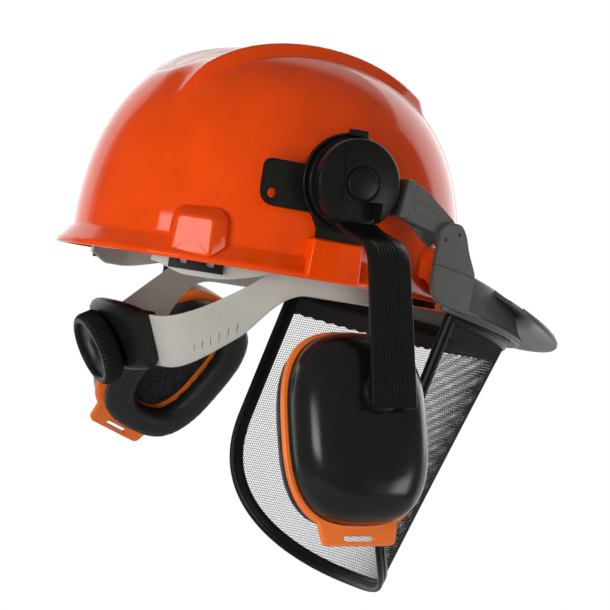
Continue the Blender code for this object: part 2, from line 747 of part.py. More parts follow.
def build_bracket(name, side, black):
    """The fixed bracket: flange, flag plate with a hole, socket tongue, ear for the visor link."""
    back = flange_inner()
    front = back + FLANGE_THICK
    skin = FLANGE_THICK * 0.12
    edge = FLANGE_THICK * 0.25
    disc = turned([(FLANGE_RADIUS - edge, back), (FLANGE_RADIUS, back + edge),
                   (FLANGE_RADIUS, front - edge), (FLANGE_RADIUS - edge, front)], 32)
    disc = moved(disc, (DRUM_FORWARD, DRUM_HEIGHT, 0.0))
    bracket = add_piece("bracket_" + name, outward(disc, side), black)
    flag_middle = DRUM_HEIGHT - FLAG_DROP
    flag_end = DRUM_FORWARD - FLAG_REACH
    flag_low = flag_middle - FLAG_HEIGHT / 2.0
    flag_high = flag_middle + FLAG_HEIGHT / 2.0
    corners = [(flag_end, flag_low), (DRUM_FORWARD, flag_low),
               (DRUM_FORWARD, flag_high), (flag_end, flag_high)]
    flag = plate(rounded(corners, FLAG_HEIGHT / 5.0), back + skin, front - skin)
    combine(bracket, "flag", outward(flag, side), "UNION")
    tongue_top = DRUM_HEIGHT - FLANGE_RADIUS / 2.0
    tongue = block((DRUM_FORWARD - NECK_HALF_WIDTH, SOCKET_FLOOR + GAP, back + 2.0 * skin),
                   (DRUM_FORWARD + NECK_HALF_WIDTH, tongue_top, front - 2.0 * skin))
    combine(bracket, "tongue", outward(tongue, side), "UNION")
    ear = block((DRUM_FORWARD, DRUM_HEIGHT - FLAG_HEIGHT / 2.0, back + 1.5 * skin),
                (link_rear() + NECK_HALF_WIDTH, DRUM_HEIGHT, front - 1.5 * skin))
    combine(bracket, "ear", outward(ear, side), "UNION")
    inset = FLAG_HEIGHT * 0.4
    through = [(FLAG_HOLE_RADIUS, back - FLANGE_THICK), (FLAG_HOLE_RADIUS, front + FLANGE_THICK)]
    hole = turned(through, 20)
    hole = moved(hole, (flag_end + inset, flag_low + inset, 0.0))
    combine(bracket, "hole", outward(hole, side), "DIFFERENCE")


def build_drum(name, side, parent, black):
    """The drum that swings the muff back, slotted below for the arm, with a domed centre button."""
    rim = DRUM_THICK * 0.45
    round_edge = DRUM_THICK * 0.1
    profile = [(DRUM_RADIUS, RUNNING_GAP), (DRUM_RADIUS, rim), (DRUM_FACE_RADIUS, rim + round_edge),
               (DRUM_FACE_RADIUS, DRUM_THICK - round_edge), (DRUM_FACE_RADIUS - round_edge, DRUM_THICK)]
    drum = add_piece("drum_" + name, outward(turned(profile, 32), side), black, parent)
    half = ARM_WIDTH / 2.0 + 2.0 * RUNNING_GAP
    slot = block((-half, -DRUM_RADIUS * 1.2, FLARE_OUT - 1.5 * ARM_THICK),
                 (half, -FLARE_DROP + 1.7 * ARM_THICK, DRUM_THICK * 1.5))
    combine(drum, "slot", outward(slot, side), "DIFFERENCE", parent)
    seat = DRUM_THICK + GAP
    dome = [(BUTTON_RADIUS, seat), (BUTTON_RADIUS, seat + BUTTON_THICK * 0.4),
            (BUTTON_RADIUS * 0.85, seat + BUTTON_THICK * 0.75),
            (BUTTON_RADIUS * 0.5, seat + BUTTON_THICK)]
    add_piece("drum_button_" + name, outward(turned(dome, 20), side), black, parent)


def build_muff(name, side, finishes):
    """One ear muff on its four pivots: drum, flare, height slide and cup swivel."""
    drum_place = (DRUM_FORWARD, side * (flange_inner() + FLANGE_THICK), DRUM_HEIGHT)
    drum_axis = add_empty("drum_axis_" + name, None, drum_place, (0.0, -PARK_TILT[name], 0.0))
    flare_axis = add_empty("flare_axis_" + name, drum_axis, (0.0, side * FLARE_OUT, -FLARE_DROP),
                           (side * FLARE_REST[name], 0.0, 0.0))
    path = arm_path()
    heading = (path[-1] - path[-2]).normalized()
    inner = Vector((heading.y, -heading.x)) * (ARM_THICK / 2.0 + GAP)
    place = path[-1] - heading * PIVOT_ABOVE_ARM_END + inner
    lean = math.atan2(-heading.x, -heading.y)
    cup_slide = add_empty("cup_slide_" + name, flare_axis, (0.0, side * place.x, place.y),
                          (-side * lean, 0.0, 0.0))
    cup_axis = add_empty("cup_axis_" + name, cup_slide, rotation=(0.0, SWIVEL_REST[name], 0.0))
    black = finishes["black"]
    build_bracket(name, side, black)
    build_drum(name, side, drum_axis, black)
    add_piece("arm_" + name, outward(arm_form(), side), black, flare_axis)
    disc = turned([(PIVOT_RADIUS, -PIVOT_THICK), (PIVOT_RADIUS, -PIVOT_THICK * 0.2),
                   (PIVOT_RADIUS * 0.94, 0.0)], 24)
    add_piece("cup_pivot_" + name, outward(disc, side), black, cup_slide)
    add_piece("cup_shell_" + name, outward(cup_form(), side), finishes["cup"], cup_axis)
    build_ring(name, side, cup_axis, finishes["ring"])
    add_piece("cup_cushion_" + name, outward(cushion_form(), side), finishes["cushion"], cup_axis)
    end = ring_levels()[1]
    edge = RING_BAND + RUNNING_GAP
    liner = loft([cup_loop(edge, end + RING_LIP), cup_loop(edge, end + FOAM_THICK)])
    add_piece("cup_foam_" + name, outward(liner, side), finishes["foam"], cup_axis)


# Visor

def link_rear():
    """How far forward the visor link starts, just clear of the drum."""
    return DRUM_FORWARD + FLANGE_RADIUS


def visor_inner():
    """How far out the visor's side arms start."""
    return DOME_HALF_WIDTH + VISOR_STANDOFF


def brow_depth():
    """Depth of the brow band's curve, from the front back to the side arms."""
    end = VISOR_PIVOT_FORWARD + BROW_END_AHEAD
    return (BROW_FRONT - end) / (1.0 - math.cos(BROW_SPAN))


def brow_half_width():
    """Half width of the brow band's curve, so that its ends meet the side arms."""
    return (visor_inner() + VISOR_ARM_THICK / 2.0) / math.sin(BROW_SPAN)


def brow_ahead(turn):
    """0 at the side arms, 1 at the middle of the brow."""
    return (np.cos(turn) - math.cos(BROW_SPAN)) / (1.0 - math.cos(BROW_SPAN))


def brow_low(turn):
    """Height of the brow band's lower edge, which falls toward the front."""
    return BROW_LOW_SIDE + (BROW_LOW_FRONT - BROW_LOW_SIDE) * brow_ahead(turn)


def brow_top(turn):
    """Height of the brow band's upper edge."""
    return BROW_TOP_SIDE + (BROW_TOP_FRONT - BROW_TOP_SIDE) * brow_ahead(turn)


def brow_points(turn, height, offset):
    """Places on the brow band, pushed out by an offset; the front leans back as it rises."""
    lean = BROW_RAKE * (height - brow_low(turn)) * brow_ahead(turn)
    ahead = BROW_FRONT + offset - lean - brow_depth() * (1.0 - np.cos(turn))
    across = (brow_half_width() + offset) * np.sin(turn)
    return np.stack(np.broadcast_arrays(ahead, across, height), axis=-1)


def from_pivot(grid):
    """A grid of places measured from the visor's pivot."""
    return grid - np.array((VISOR_PIVOT_FORWARD, 0.0, VISOR_PIVOT_HEIGHT))


def build_links(black):
    """The fixed links from muff brackets to visor pivots, and their pins."""
    outer = visor_inner() - RUNNING_GAP
    inner = flange_inner() + FLANGE_THICK + GAP
    rear = link_rear() + GAP
    ahead, up = VISOR_PIVOT_FORWARD, VISOR_PIVOT_HEIGHT
    reach = VISOR_PIVOT_RADIUS
    corners = [(rear + LINK_REAR_INSET, DRUM_HEIGHT - FLAG_HEIGHT * 0.6),
               (ahead - reach * 0.7, up - reach), (ahead + reach, up - reach),
               (ahead + reach * 0.9, up + reach),
               (rear + LINK_TOP_INSET, DRUM_HEIGHT + FLAG_HEIGHT * 0.18)]
    body = plate(rounded(corners, LINK_CORNER), inner, outer)
    bore_radius = VISOR_PIN_RADIUS + GAP
    bore = turned([(bore_radius, inner - DEEP), (bore_radius, outer + DEEP)], 20)
    bore = moved(bore, (ahead, up, 0.0))
    pin_end = visor_inner() + VISOR_ARM_THICK / 2.0
    pin = turned([(VISOR_PIN_RADIUS, inner), (VISOR_PIN_RADIUS, pin_end)], 20)
    pin = moved(pin, (ahead, up, 0.0))
    for name, side in SIDES.items():
        link = add_piece("visor_link_" + name, outward(body, side), black)
        combine(link, "bore", outward(bore, side), "DIFFERENCE")
        add_piece("visor_pin_" + name, outward(pin, side), black)


def build_visor_frame(axis, black):
    """The brow band with a side arm at each end."""
    turns = np.linspace(-BROW_SPAN, BROW_SPAN, 25)
    turns = np.concatenate((turns[:1], turns, turns[-1:]))
    height = np.stack((brow_low(turns), brow_top(turns)), axis=-1)
    grid = brow_points(turns[:, None], height, 0.0)
    grid[[0, -1], :, 0] = VISOR_PIVOT_FORWARD - VISOR_ARM_HALF_WIDTH / 2.0
    frame = add_sheet("visor_frame", from_pivot(grid), BROW_THICK, black, axis)
    wide = VISOR_ARM_HALF_WIDTH
    head = VISOR_PIVOT_RADIUS
    foot = BROW_LOW_SIDE - VISOR_PIVOT_HEIGHT + BROW_THICK / 2.0
    corners = [(-head, head), (head, head), (head * 1.3, foot * 0.55),
               (wide + head, foot), (-wide, foot), (-wide, foot * 0.6)]
    inner = visor_inner()
    bore_radius = VISOR_PIN_RADIUS + GAP
    bore = turned([(bore_radius, inner - DEEP), (bore_radius, inner + VISOR_ARM_THICK / 2.0 + GAP)], 20)
    for name, side in SIDES.items():
        arm = plate(rounded(corners, head * 0.6), inner, inner + VISOR_ARM_THICK)
        combine(frame, "arm_" + name, outward(arm, side), "UNION", axis)
        combine(frame, "bore_" + name, outward(bore, side), "DIFFERENCE", axis)


def build_bill(axis, black):
    """The bill: a crescent that slopes down from the top of the brow band."""
    turns = np.linspace(-BILL_SPAN, BILL_SPAN, 21)[:, None]
    parts = np.linspace(0.0, 1.0, 4)[None, :]
    taper = np.cos(turns / BILL_SPAN * math.radians(84.0)) ** 0.6
    root = BROW_THICK / 2.0 + BILL_THICK / 2.0 + 3.0 * GAP
    level = brow_top(turns) - BILL_DROP * brow_ahead(turns)
    grid = brow_points(turns, level, root + BILL_REACH * parts * taper)
    grid[..., 2] -= BILL_FALL * parts * taper * (0.7 + 0.3 * parts)
    add_sheet("visor_bill", from_pivot(grid), BILL_THICK, black, axis)


def screen_points(turn, height):
    """Places on the mesh screen: part of an ellipse in plan, leaning back toward the chin."""
    inside = BROW_THICK / 2.0 + SCREEN_CLEAR
    below = height - screen_top(0.0)
    front = BROW_FRONT - BROW_RAKE * SCREEN_TUCK - inside + SCREEN_TILT * below
    depth = brow_depth() + SCREEN_TAPER * below
    ahead = front - depth * (1.0 - np.cos(turn))
    across = (brow_half_width() - inside) * np.sin(turn)
    return np.stack(np.broadcast_arrays(ahead, across, height), axis=-1)


def screen_top(turn):
    """Height of the screen's top edge, tucked inside the brow band."""
    return brow_low(turn) + SCREEN_TUCK


def screen_side(inset):
    """Stations down the right edge and round the chin, drawn in by an inset: (turn, height)."""
    span = SCREEN_SPAN - inset / brow_depth()
    bottom = SCREEN_BOTTOM + inset
    top = screen_top(span) - inset
    sides = [(span, height) for height in np.linspace(top, SCREEN_SHOULDER, 4)[:-1]]
    power = 2.0 / 2.3
    for angle in np.linspace(0.0, math.radians(84.0), 9):
        sides.append((span * math.cos(angle) ** power,
                      SCREEN_SHOULDER + (bottom - SCREEN_SHOULDER) * math.sin(angle) ** power))
    return np.array(sides)


def screen_outline(inset):
    """The closed edge of the screen, drawn in by an inset."""
    side = screen_side(inset)
    turns = np.linspace(-side[0, 0], side[0, 0], 15)[1:-1]
    top = np.column_stack((turns, screen_top(turns) - inset))
    mirrored = side[::-1] * np.array((-1.0, 1.0))
    return np.concatenate((top, side, mirrored))


def bar_edges(openings):
    """Both edges of each bar of a grid with that many openings, spread from 0 to 1."""
    half = SCREEN_BAR_SHARE / openings / 2.0
    middles = np.linspace(half, 1.0 - half, openings + 1)
    return np.stack((middles - half, middles + half), axis=1).ravel()


def build_screen(axis, mesh_black, black):
    """The screen, here a plain grid of openings for its mesh, and the moulded edging round it."""
    outer = screen_outline(0.0)
    inner = screen_outline(EDGING_WIDTH)
    grid = np.stack([screen_points(edge[:, 0], edge[:, 1]) for edge in (outer, inner)], axis=1)
    add_sheet("screen_edging", from_pivot(grid), EDGING_THICK, black, axis, wrap=True)
    stations = screen_side(EDGING_WIDTH + GAP)
    down = bar_edges(SCREEN_OPENINGS_DOWN)
    known = np.linspace(0.0, 1.0, len(stations))
    side = np.column_stack([np.interp(down, known, stations[:, part]) for part in range(2)])
    across = 2.0 * bar_edges(SCREEN_OPENINGS_ACROSS)[:, None] - 1.0
    turns = across * side[None, :, 0]
    raised = np.clip((side[:, 1] - SCREEN_SHOULDER) / (side[0, 1] - SCREEN_SHOULDER), 0.0, 1.0)[None, :]
    heights = side[None, :, 1] + (screen_top(turns) - screen_top(side[None, :, 0])) * raised
    keep = np.ones((len(across) - 1, len(down) - 1), dtype=bool)
    keep[1::2, 1::2] = False
    screen = from_pivot(screen_points(turns, heights))
    add_sheet("visor_screen", screen, SCREEN_THICK, mesh_black, axis, keep=keep)


def main():
    for item in list(bpy.data.objects):
        bpy.data.objects.remove(item, do_unlink=True)
    orange = finish("shell_orange", (0.80, 0.09, 0.006), 0.18)
    black = finish("moulded_black", (0.010, 0.010, 0.009), 0.42)
    dark = finish("clip_grey", (0.03, 0.028, 0.025), 0.5)
    finishes = {"black": black, "cup": finish("cup_black", (0.009, 0.009, 0.009), 0.38),
                "ring": finish("ring_orange", (0.90, 0.15, 0.012), 0.35),
                "cushion": finish("cushion_black", (0.012, 0.012, 0.012), 0.5),
                "foam": finish("foam_charcoal", (0.02, 0.02, 0.019), 0.95)}
    build_shell(orange)
    build_headband(finish("strap_grey", (0.50, 0.49, 0.44), 0.45))
    build_sweatband(finish("sweatband_black", (0.02, 0.02, 0.02), 0.9))
    build_clips(dark)
    build_crown_straps(finish("strap_webbing", (0.32, 0.32, 0.30), 0.85))
    build_ratchet(black, dark)
    for name, side in SIDES.items():
        build_muff(name, side, finishes)
    visor_axis = add_empty("visor_axis", None, (VISOR_PIVOT_FORWARD, 0.0, VISOR_PIVOT_HEIGHT))
    build_links(black)
    build_visor_frame(visor_axis, finish("visor_black", (0.014, 0.014, 0.013), 0.4))
    build_bill(visor_axis, black)
    build_screen(visor_axis, finish("mesh_black", (0.012, 0.012, 0.012), 0.55, 0.4), black)


main()
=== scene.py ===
"""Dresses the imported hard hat: smooth shell, ear muffs, mesh visor, harness, finishes and a studio stage."""

import math

import bmesh
import bpy
import numpy as np
from bpy.props import FloatProperty, FloatVectorProperty, IntProperty, PointerProperty
from mathutils import Matrix, Vector


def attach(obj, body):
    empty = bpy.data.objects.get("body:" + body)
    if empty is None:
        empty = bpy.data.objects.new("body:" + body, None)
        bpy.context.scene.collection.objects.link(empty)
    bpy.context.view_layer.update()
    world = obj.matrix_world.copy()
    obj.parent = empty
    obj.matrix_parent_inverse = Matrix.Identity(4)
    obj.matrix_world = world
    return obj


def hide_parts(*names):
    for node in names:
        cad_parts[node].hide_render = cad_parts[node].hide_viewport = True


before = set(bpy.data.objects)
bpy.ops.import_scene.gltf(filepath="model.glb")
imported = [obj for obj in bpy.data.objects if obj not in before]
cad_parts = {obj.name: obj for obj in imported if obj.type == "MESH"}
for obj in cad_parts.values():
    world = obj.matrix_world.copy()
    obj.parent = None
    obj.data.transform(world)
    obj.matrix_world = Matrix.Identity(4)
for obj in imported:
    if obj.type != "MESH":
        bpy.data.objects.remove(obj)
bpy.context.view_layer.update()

bl_info = {
    "name": "Hard hat dressing",
    "version": (1, 0, 0),
    "blender": (4, 5, 0),
    "location": "View3D > Sidebar > Hard hat",
    "description": "Builds the visible pieces and finishes of a hard hat with ear muffs and a mesh visor",
    "category": "Object",
}

SIDES = {"right": -1.0, "left": 1.0}
SIDE_ORDER = tuple(SIDES)
GAP = 0.0003
TURN = 2.0 * math.pi


# Settings

def length(name, description, default):
    """A size in metres that a user may change."""
    return FloatProperty(name=name, description=description, default=default, unit="LENGTH", precision=4)


def degrees(name, description, default):
    """An angle, given in degrees."""
    return FloatProperty(name=name, description=description, default=math.radians(default),
                         subtype="ANGLE", unit="ROTATION")


def rest_angles(name, description, right, left):
    """A pair of rest angles in degrees, for the right and the left muff."""
    return FloatVectorProperty(name=name, description=description, size=2, unit="ROTATION",
                               default=(math.radians(right), math.radians(left)))


def ratio(name, description, default):
    """A plain number."""
    return FloatProperty(name=name, description=description, default=default, precision=3)


def colour(name, description, default):
    """A linear colour."""
    return FloatVectorProperty(name=name, description=description, default=default, size=3,
                               subtype="COLOR", min=0.0, max=1.0)


class ShellSizes(bpy.types.PropertyGroup):
    """Sizes of the shell."""
    half_length: length("Half length", "Half the dome's length at the head opening", 0.1255)
    half_width: length("Half width", "Half the dome's width at the head opening", 0.104)
    height: length("Height", "Height of the dome above the head opening", 0.140)
    fullness: ratio("Fullness", "Power of the dome's outline; 2 is an ellipse", 2.46)
    wall: length("Wall", "Thickness of the shell", 0.0026)
    brim_root: length("Brim root", "Height at which the brim leaves the dome", 0.0095)
    brim_low: length("Brim low", "Height of the brim's lower edge", -0.004)
    brim_lip: length("Brim lip", "Thickness of the brim's edge", 0.0032)
    brim_reach: length("Brim reach", "How far the brim stands out", 0.009)
    peak_reach: length("Peak reach", "How much further the brim stands out at the front", 0.008)
    peak_droop: length("Peak droop", "How much lower the brim is at the front", 0.007)
    ridge_half_width: length("Ridge half width", "From the middle to the crest of the ridge", 0.040)
    ridge_foot: length("Ridge foot", "From the crest out to the foot of the ridge", 0.0065)
    ridge_step: length("Ridge step", "How far the crest stands above the dome", 0.006)
    ridge_dish: length("Ridge dish", "How deep the roof is dished at the rear", 0.004)
    ridge_rear: length("Ridge rear", "Where the ridge rises out of the dome", -0.098)
    ridge_risen: length("Ridge risen", "Where the ridge has its full step", -0.074)
    ridge_front: length("Ridge front", "Where the ridge ends at the front", 0.073)
    boss_angle: degrees("Boss angle", "Turn from the front to a corner boss", 50.0)
    boss_half_width: length("Boss half width", "Half the width of a corner boss's face", 0.0125)
    boss_height: length("Boss height", "Height of a corner boss's face", 0.0225)
    boss_stand: length("Boss stand", "How far a corner boss stands out", 0.0075)
    socket_half_width: length("Socket half width", "Half the width of a side socket", 0.016)
    socket_height: length("Socket height", "Height of a side socket", 0.020)
    socket_forward: length("Socket forward", "Place of a side socket along the shell", -0.004)


class MuffSizes(bpy.types.PropertyGroup):
    """Sizes of the ear muffs."""
    plate_out: length("Plate out", "How far out the bracket's back face stands", 0.1055)
    plate_thick: length("Plate thickness", "Thickness of the bracket", 0.004)
    flange_radius: length("Flange radius", "Radius of the bracket's flange", 0.030)
    drum_forward: length("Drum forward", "Place of the drum along the shell", -0.002)
    drum_height: length("Drum height", "Height of the drum's axis", 0.056)
    drum_radius: length("Drum radius", "Radius of the drum at the flange", 0.0275)
    drum_face: length("Drum face", "Radius of the drum's face", 0.0268)
    drum_thick: length("Drum thickness", "How far the drum stands out", 0.0175)
    button_radius: length("Button radius", "Radius of the button on the drum", 0.0102)
    button_thick: length("Button thickness", "Height of the button", 0.0035)
    flag_reach: length("Flag reach", "How far the flag plate reaches to the rear", 0.0555)
    flag_height: length("Flag height", "Height of the flag plate", 0.028)
    flag_drop: length("Flag drop", "How far the flag plate sits under the drum's axis", 0.007)
    arm_width: length("Arm width", "Width of the ribbed arm", 0.0275)
    arm_thick: length("Arm thickness", "Thickness of the arm", 0.0034)
    arm_out: length("Arm out", "How far out the arm stands from its flare axis", 0.030)
    arm_shoulder: length("Arm shoulder", "How far below the flare axis the arm's shoulder is", 0.030)
    arm_length: length("Arm length", "How far below the flare axis the arm ends", 0.124)
    arm_toe: length("Arm toe-in", "How much the arm's end is drawn in", 0.003)
    flare_out: length("Flare out", "The flare axis, out from the drum's seat", 0.012)
    flare_drop: length("Flare drop", "The flare axis, down from the drum's axis", 0.016)
    pivot_radius: length("Pivot radius", "Radius of the cup's pivot disc", 0.0115)
    pivot_thick: length("Pivot thickness", "Thickness of the cup's pivot disc", 0.005)
    pivot_inset: length("Pivot inset", "From the arm's end up to the cup's pivot", 0.009)
    cup_half_width: length("Cup half width", "Half the width of the ear cup", 0.0417)
    cup_half_height: length("Cup half height", "Half the height of the ear cup", 0.0556)
    cup_depth: length("Cup depth", "Depth of the ear cup", 0.030)
    cup_wall: length("Cup wall", "Thickness of the ear cup's wall", 0.0025)
    cup_behind: length("Cup behind", "The cup's middle, behind its pivot", 0.003)
    cup_below: length("Cup below", "The cup's middle, below its pivot", 0.016)
    ring_thick: length("Ring thickness", "Thickness of the cup's ring", 0.005)
    ring_lip: length("Ring lip", "How far the ring stands outside the cup", 0.0026)
    ring_band: length("Ring band", "Width of the ring", 0.018)
    pull_half_width: length("Pull half width", "Half the width of the ring's pull tab", 0.0265)
    pull_reach: length("Pull reach", "How far the pull tab hangs below the cup", 0.0115)
    cushion_thick: length("Cushion thickness", "Thickness of the ear cushion", 0.017)
    cushion_band: length("Cushion band", "Width of the ear cushion's ring", 0.020)
    foam_thick: length("Foam thickness", "Thickness of the foam liner", 0.006)
    park_tilt: rest_angles("Park tilt", "Turn of the drum at rest", 4.0, 14.0)
    flare: rest_angles("Flare", "Turn of the arm at rest, away from the head", 18.0, 31.0)
    swivel: rest_angles("Swivel", "Turn of the cup on its pivot at rest", -2.0, 35.0)


class VisorSizes(bpy.types.PropertyGroup):
    """Sizes of the visor."""
    pivot_forward: length("Pivot forward", "Place of the visor's pivot along the shell", 0.064)
    pivot_height: length("Pivot height", "Height of the visor's pivot", 0.035)
    pivot_radius: length("Pivot radius", "Radius of the arm's head round the pivot", 0.0085)
    inner: length("Inner", "How far out the visor's side arms start", 0.1215)
    arm_thick: length("Arm thickness", "Thickness of the side arms", 0.0036)
    brow_thick: length("Brow thickness", "Thickness of the brow band", 0.003)
    brow_front: length("Brow front", "Front of the brow band at its lower edge", 0.1762)
    brow_rake: ratio("Brow rake", "How far the brow leans back for its rise", 0.5)
    brow_span: degrees("Brow span", "Half the turn of the brow band", 70.7)
    brow_end: length("Brow end", "The brow band's ends, ahead of the pivot", 0.005)
    brow_top_side: length("Brow top at side", "Upper edge at the side arms", 0.016)
    brow_top_front: length("Brow top at front", "Upper edge at the front", -0.005)
    brow_low_side: length("Brow low at side", "Lower edge at the side arms", -0.009)
    brow_low_front: length("Brow low at front", "Lower edge at the front", -0.0255)
    bill_reach: length("Bill reach", "How far the bill stands out", 0.0335)
    bill_fall: length("Bill fall", "How far the bill slopes down", 0.0195)
    bill_drop: length("Bill drop", "How far under the brow's top the bill joins", 0.001)
    bill_thick: length("Bill thickness", "Thickness of the bill", 0.0024)
    bill_span: degrees("Bill span", "Half the turn of the bill", 52.0)
    screen_tilt: ratio("Screen tilt", "How far the screen leans back toward the chin", 0.416)
    screen_taper: ratio("Screen taper", "How much shallower the screen gets toward the chin", 0.272)
    screen_tuck: length("Screen tuck", "How far the screen's top sits behind the brow", 0.004)
    screen_clear: length("Screen clearance", "Gap between brow band and screen", 0.0035)
    screen_span: degrees("Screen span", "Half the turn of the screen", 67.35)
    screen_bottom: length("Screen bottom", "Height of the screen's lowest point", -0.1963)
    screen_shoulder: length("Screen shoulder", "Height at which the chin curve begins", -0.0998)
    edging_width: length("Edging width", "Width of the moulded edging", 0.0095)
    edging_thick: length("Edging thickness", "Thickness of the moulded edging", 0.0032)
    wire_pitch: length("Wire pitch", "From one wire to the next", 0.0016)
    wire_radius: length("Wire radius", "Radius of a wire", 0.00017)


class HarnessSizes(bpy.types.PropertyGroup):
    """Sizes of the headband, its straps and its ratchet."""
    band_half_length: length("Band half length", "Half the headband's length", 0.090)
    band_half_width: length("Band half width", "Half the headband's width", 0.078)
    band_forward: length("Band forward", "How far ahead of the shell's middle the headband sits", 0.006)
    band_thick: length("Band thickness", "Thickness of the headband", 0.0016)
    band_low: length("Band low", "Lower edge of the headband", -0.013)
    band_high: length("Band high", "Upper edge of the headband", 0.017)
    tail_drop: length("Tail drop", "How far the nape strap drops", 0.057)
    tail_height: length("Tail height", "Height of the nape strap", 0.029)
    tail_lean: degrees("Tail lean", "Lean of the nape strap toward the neck", 30.0)
    tail_start: degrees("Tail start", "Turn at which the nape strap begins to drop", 80.0)
    tail_settled: degrees("Tail settled", "Turn at which the nape strap has dropped", 154.0)
    tail_fork: degrees("Tail fork", "Turn at which the nape strap parts from the rear tab", 92.0)
    rear_tab_low: length("Rear tab low", "Lower edge of the rear tabs", -0.012)
    rear_tab_high: length("Rear tab high", "Upper edge of the rear tabs", 0.003)
    rear_tab_end: degrees("Rear tab end", "Turn at which the rear tabs end", 146.0)
    clip_thick: length("Clip thickness", "Thickness of a suspension clip", 0.0042)
    clip_high: length("Clip high", "Upper edge of the suspension clips", 0.009)
    strap_width: length("Strap width", "Width of a crown strap", 0.019)
    strap_thick: length("Strap thickness", "Thickness of a crown strap", 0.0014)
    strap_headroom: length("Strap headroom", "Clear height over the crown straps", 0.025)
    sweatband_thick: length("Sweatband thickness", "Thickness of the sweatband", 0.0045)
    sweatband_half_angle: degrees("Sweatband half angle", "Half the turn of the sweatband", 62.0)
    ratchet_half_width: length("Ratchet half width", "Half the width of the ratchet's cover", 0.031)
    ratchet_height: length("Ratchet height", "Height of the ratchet's cover", 0.034)
    ratchet_depth: length("Ratchet depth", "Depth of the ratchet's cover", 0.012)
    knob_radius: length("Knob radius", "Radius of the ratchet's knob", 0.0235)
    knob_thick: length("Knob thickness", "Height of the ratchet's knob", 0.013)
    knob_ribs: IntProperty(name="Knob ribs", description="Grip ribs round the knob", default=48, min=8)


class HatColours(bpy.types.PropertyGroup):
    """Colours of the finishes."""
    orange: colour("Orange", "Glossy shell", (0.87, 0.068, 0.001))
    ring_orange: colour("Ring orange", "Satin rings of the cups", (0.95, 0.19, 0.02))
    black: colour("Black", "Moulded black plastic", (0.0065, 0.0065, 0.0058))
    visor_black: colour("Visor black", "Matt plastic of the visor", (0.085, 0.087, 0.083))
    strap_grey: colour("Strap grey", "Headband", (0.50, 0.49, 0.44))
    webbing: colour("Webbing", "Crown straps", (0.055, 0.055, 0.052))
    wire: colour("Wire", "Visor mesh", (0.012, 0.012, 0.012))


class StageSizes(bpy.types.PropertyGroup):
    """Camera and floor."""
    azimuth: degrees("Azimuth", "How far behind the side view the camera stands", 25.0)
    roll: degrees("Roll", "How far the hat is tipped back in the picture", 9.0)
    distance: length("Distance", "From the hat's middle to the camera", 1.5)
    lens: FloatProperty(name="Lens", description="Focal length on a 36 mm sensor", default=139.0)
    right: length("Right", "Camera's place to the right of the hat's middle", 0.02662)
    down: length("Down", "Camera's place below the hat's middle", 0.02389)
    floor: length("Floor", "Height of the floor", -0.42)
    ambient: FloatProperty(name="Ambient", description="Strength of the plain surround light", default=0.20)


class HardHatSettings(bpy.types.PropertyGroup):
    """All settings of the hard hat."""
    shell: PointerProperty(type=ShellSizes)
    muffs: PointerProperty(type=MuffSizes)
    visor: PointerProperty(type=VisorSizes)
    harness: PointerProperty(type=HarnessSizes)
    colours: PointerProperty(type=HatColours)
    stage: PointerProperty(type=StageSizes)


def hat():
    """The scene's hard hat settings."""
    return bpy.context.scene.hard_hat


# Shapes: a shape is a pair of arrays, places (n, 3) and quads (m, 4)

def smooth(value):
    """0 up to 0, 1 from 1 on, and an S curve between: 3t^2 - 2t^3."""
    value = np.clip(value, 0.0, 1.0)
    return value * value * (3.0 - 2.0 * value)


def lattice(rows, columns, wrap_rows, wrap_columns):
    """Quads of a grid: place (i, j) joined to (i+1, j), (i+1, j+1) and (i, j+1)."""
    i = np.arange(rows if wrap_rows else rows - 1)[:, None]
    j = np.arange(columns if wrap_columns else columns - 1)[None, :]
    down, right = (i + 1) % rows, (j + 1) % columns
    quads = np.stack(np.broadcast_arrays(i * columns + j, down * columns + j,
                                         down * columns + right, i * columns + right), axis=-1)
    return quads.reshape(-1, 4)


def skin(grid, wrap_rows=False, wrap_columns=False):
    """A surface through a grid of places."""
    return grid.reshape(-1, 3), lattice(*grid.shape[:2], wrap_rows, wrap_columns)


def joined(*shapes):
    """Several shapes as one."""
    starts = np.cumsum([0] + [len(places) for places, _ in shapes[:-1]])
    return (np.concatenate([places for places, _ in shapes]),
            np.concatenate([quads + start for (_, quads), start in zip(shapes, starts)]))


def lofted(rings):
    """Closed rings joined in order; both ends shrink to their middle point."""
    rings = np.asarray(rings, dtype=float)
    caps = [np.broadcast_to(ring.mean(axis=0), ring.shape)[None] for ring in (rings[0], rings[-1])]
    return skin(np.concatenate((caps[0], rings, caps[1])), wrap_columns=True)


def looped(rings):
    """Closed rings joined in order and back to the first, as a torus is."""
    return skin(np.asarray(rings, dtype=float), wrap_rows=True, wrap_columns=True)


def turned(profile, steps=96):
    """A profile of (radius, height) turned about the third axis."""
    profile = np.asarray(profile, dtype=float)
    angle = np.linspace(0.0, TURN, steps, endpoint=False)[None, :]
    rings = np.stack(np.broadcast_arrays(profile[:, :1] * np.cos(angle), profile[:, :1] * np.sin(angle),
                                         profile[:, 1:]), axis=-1)
    return lofted(rings)


def rounded(corners, radius, steps=7):
    """A closed outline whose corners are arcs: quadratic curves between points set back from each corner."""
    corners = np.asarray(corners, dtype=float)
    radius = np.broadcast_to(np.asarray(radius, dtype=float), len(corners))[:, None]
    before = np.roll(corners, 1, axis=0) - corners
    after = np.roll(corners, -1, axis=0) - corners
    start = corners + before / np.linalg.norm(before, axis=1, keepdims=True) * radius
    end = corners + after / np.linalg.norm(after, axis=1, keepdims=True) * radius
    t = np.linspace(0.0, 1.0, steps)[None, :, None]
    arcs = (1 - t) ** 2 * start[:, None] + 2 * t * (1 - t) * corners[:, None] + t ** 2 * end[:, None]
    return arcs.reshape(-1, 2)


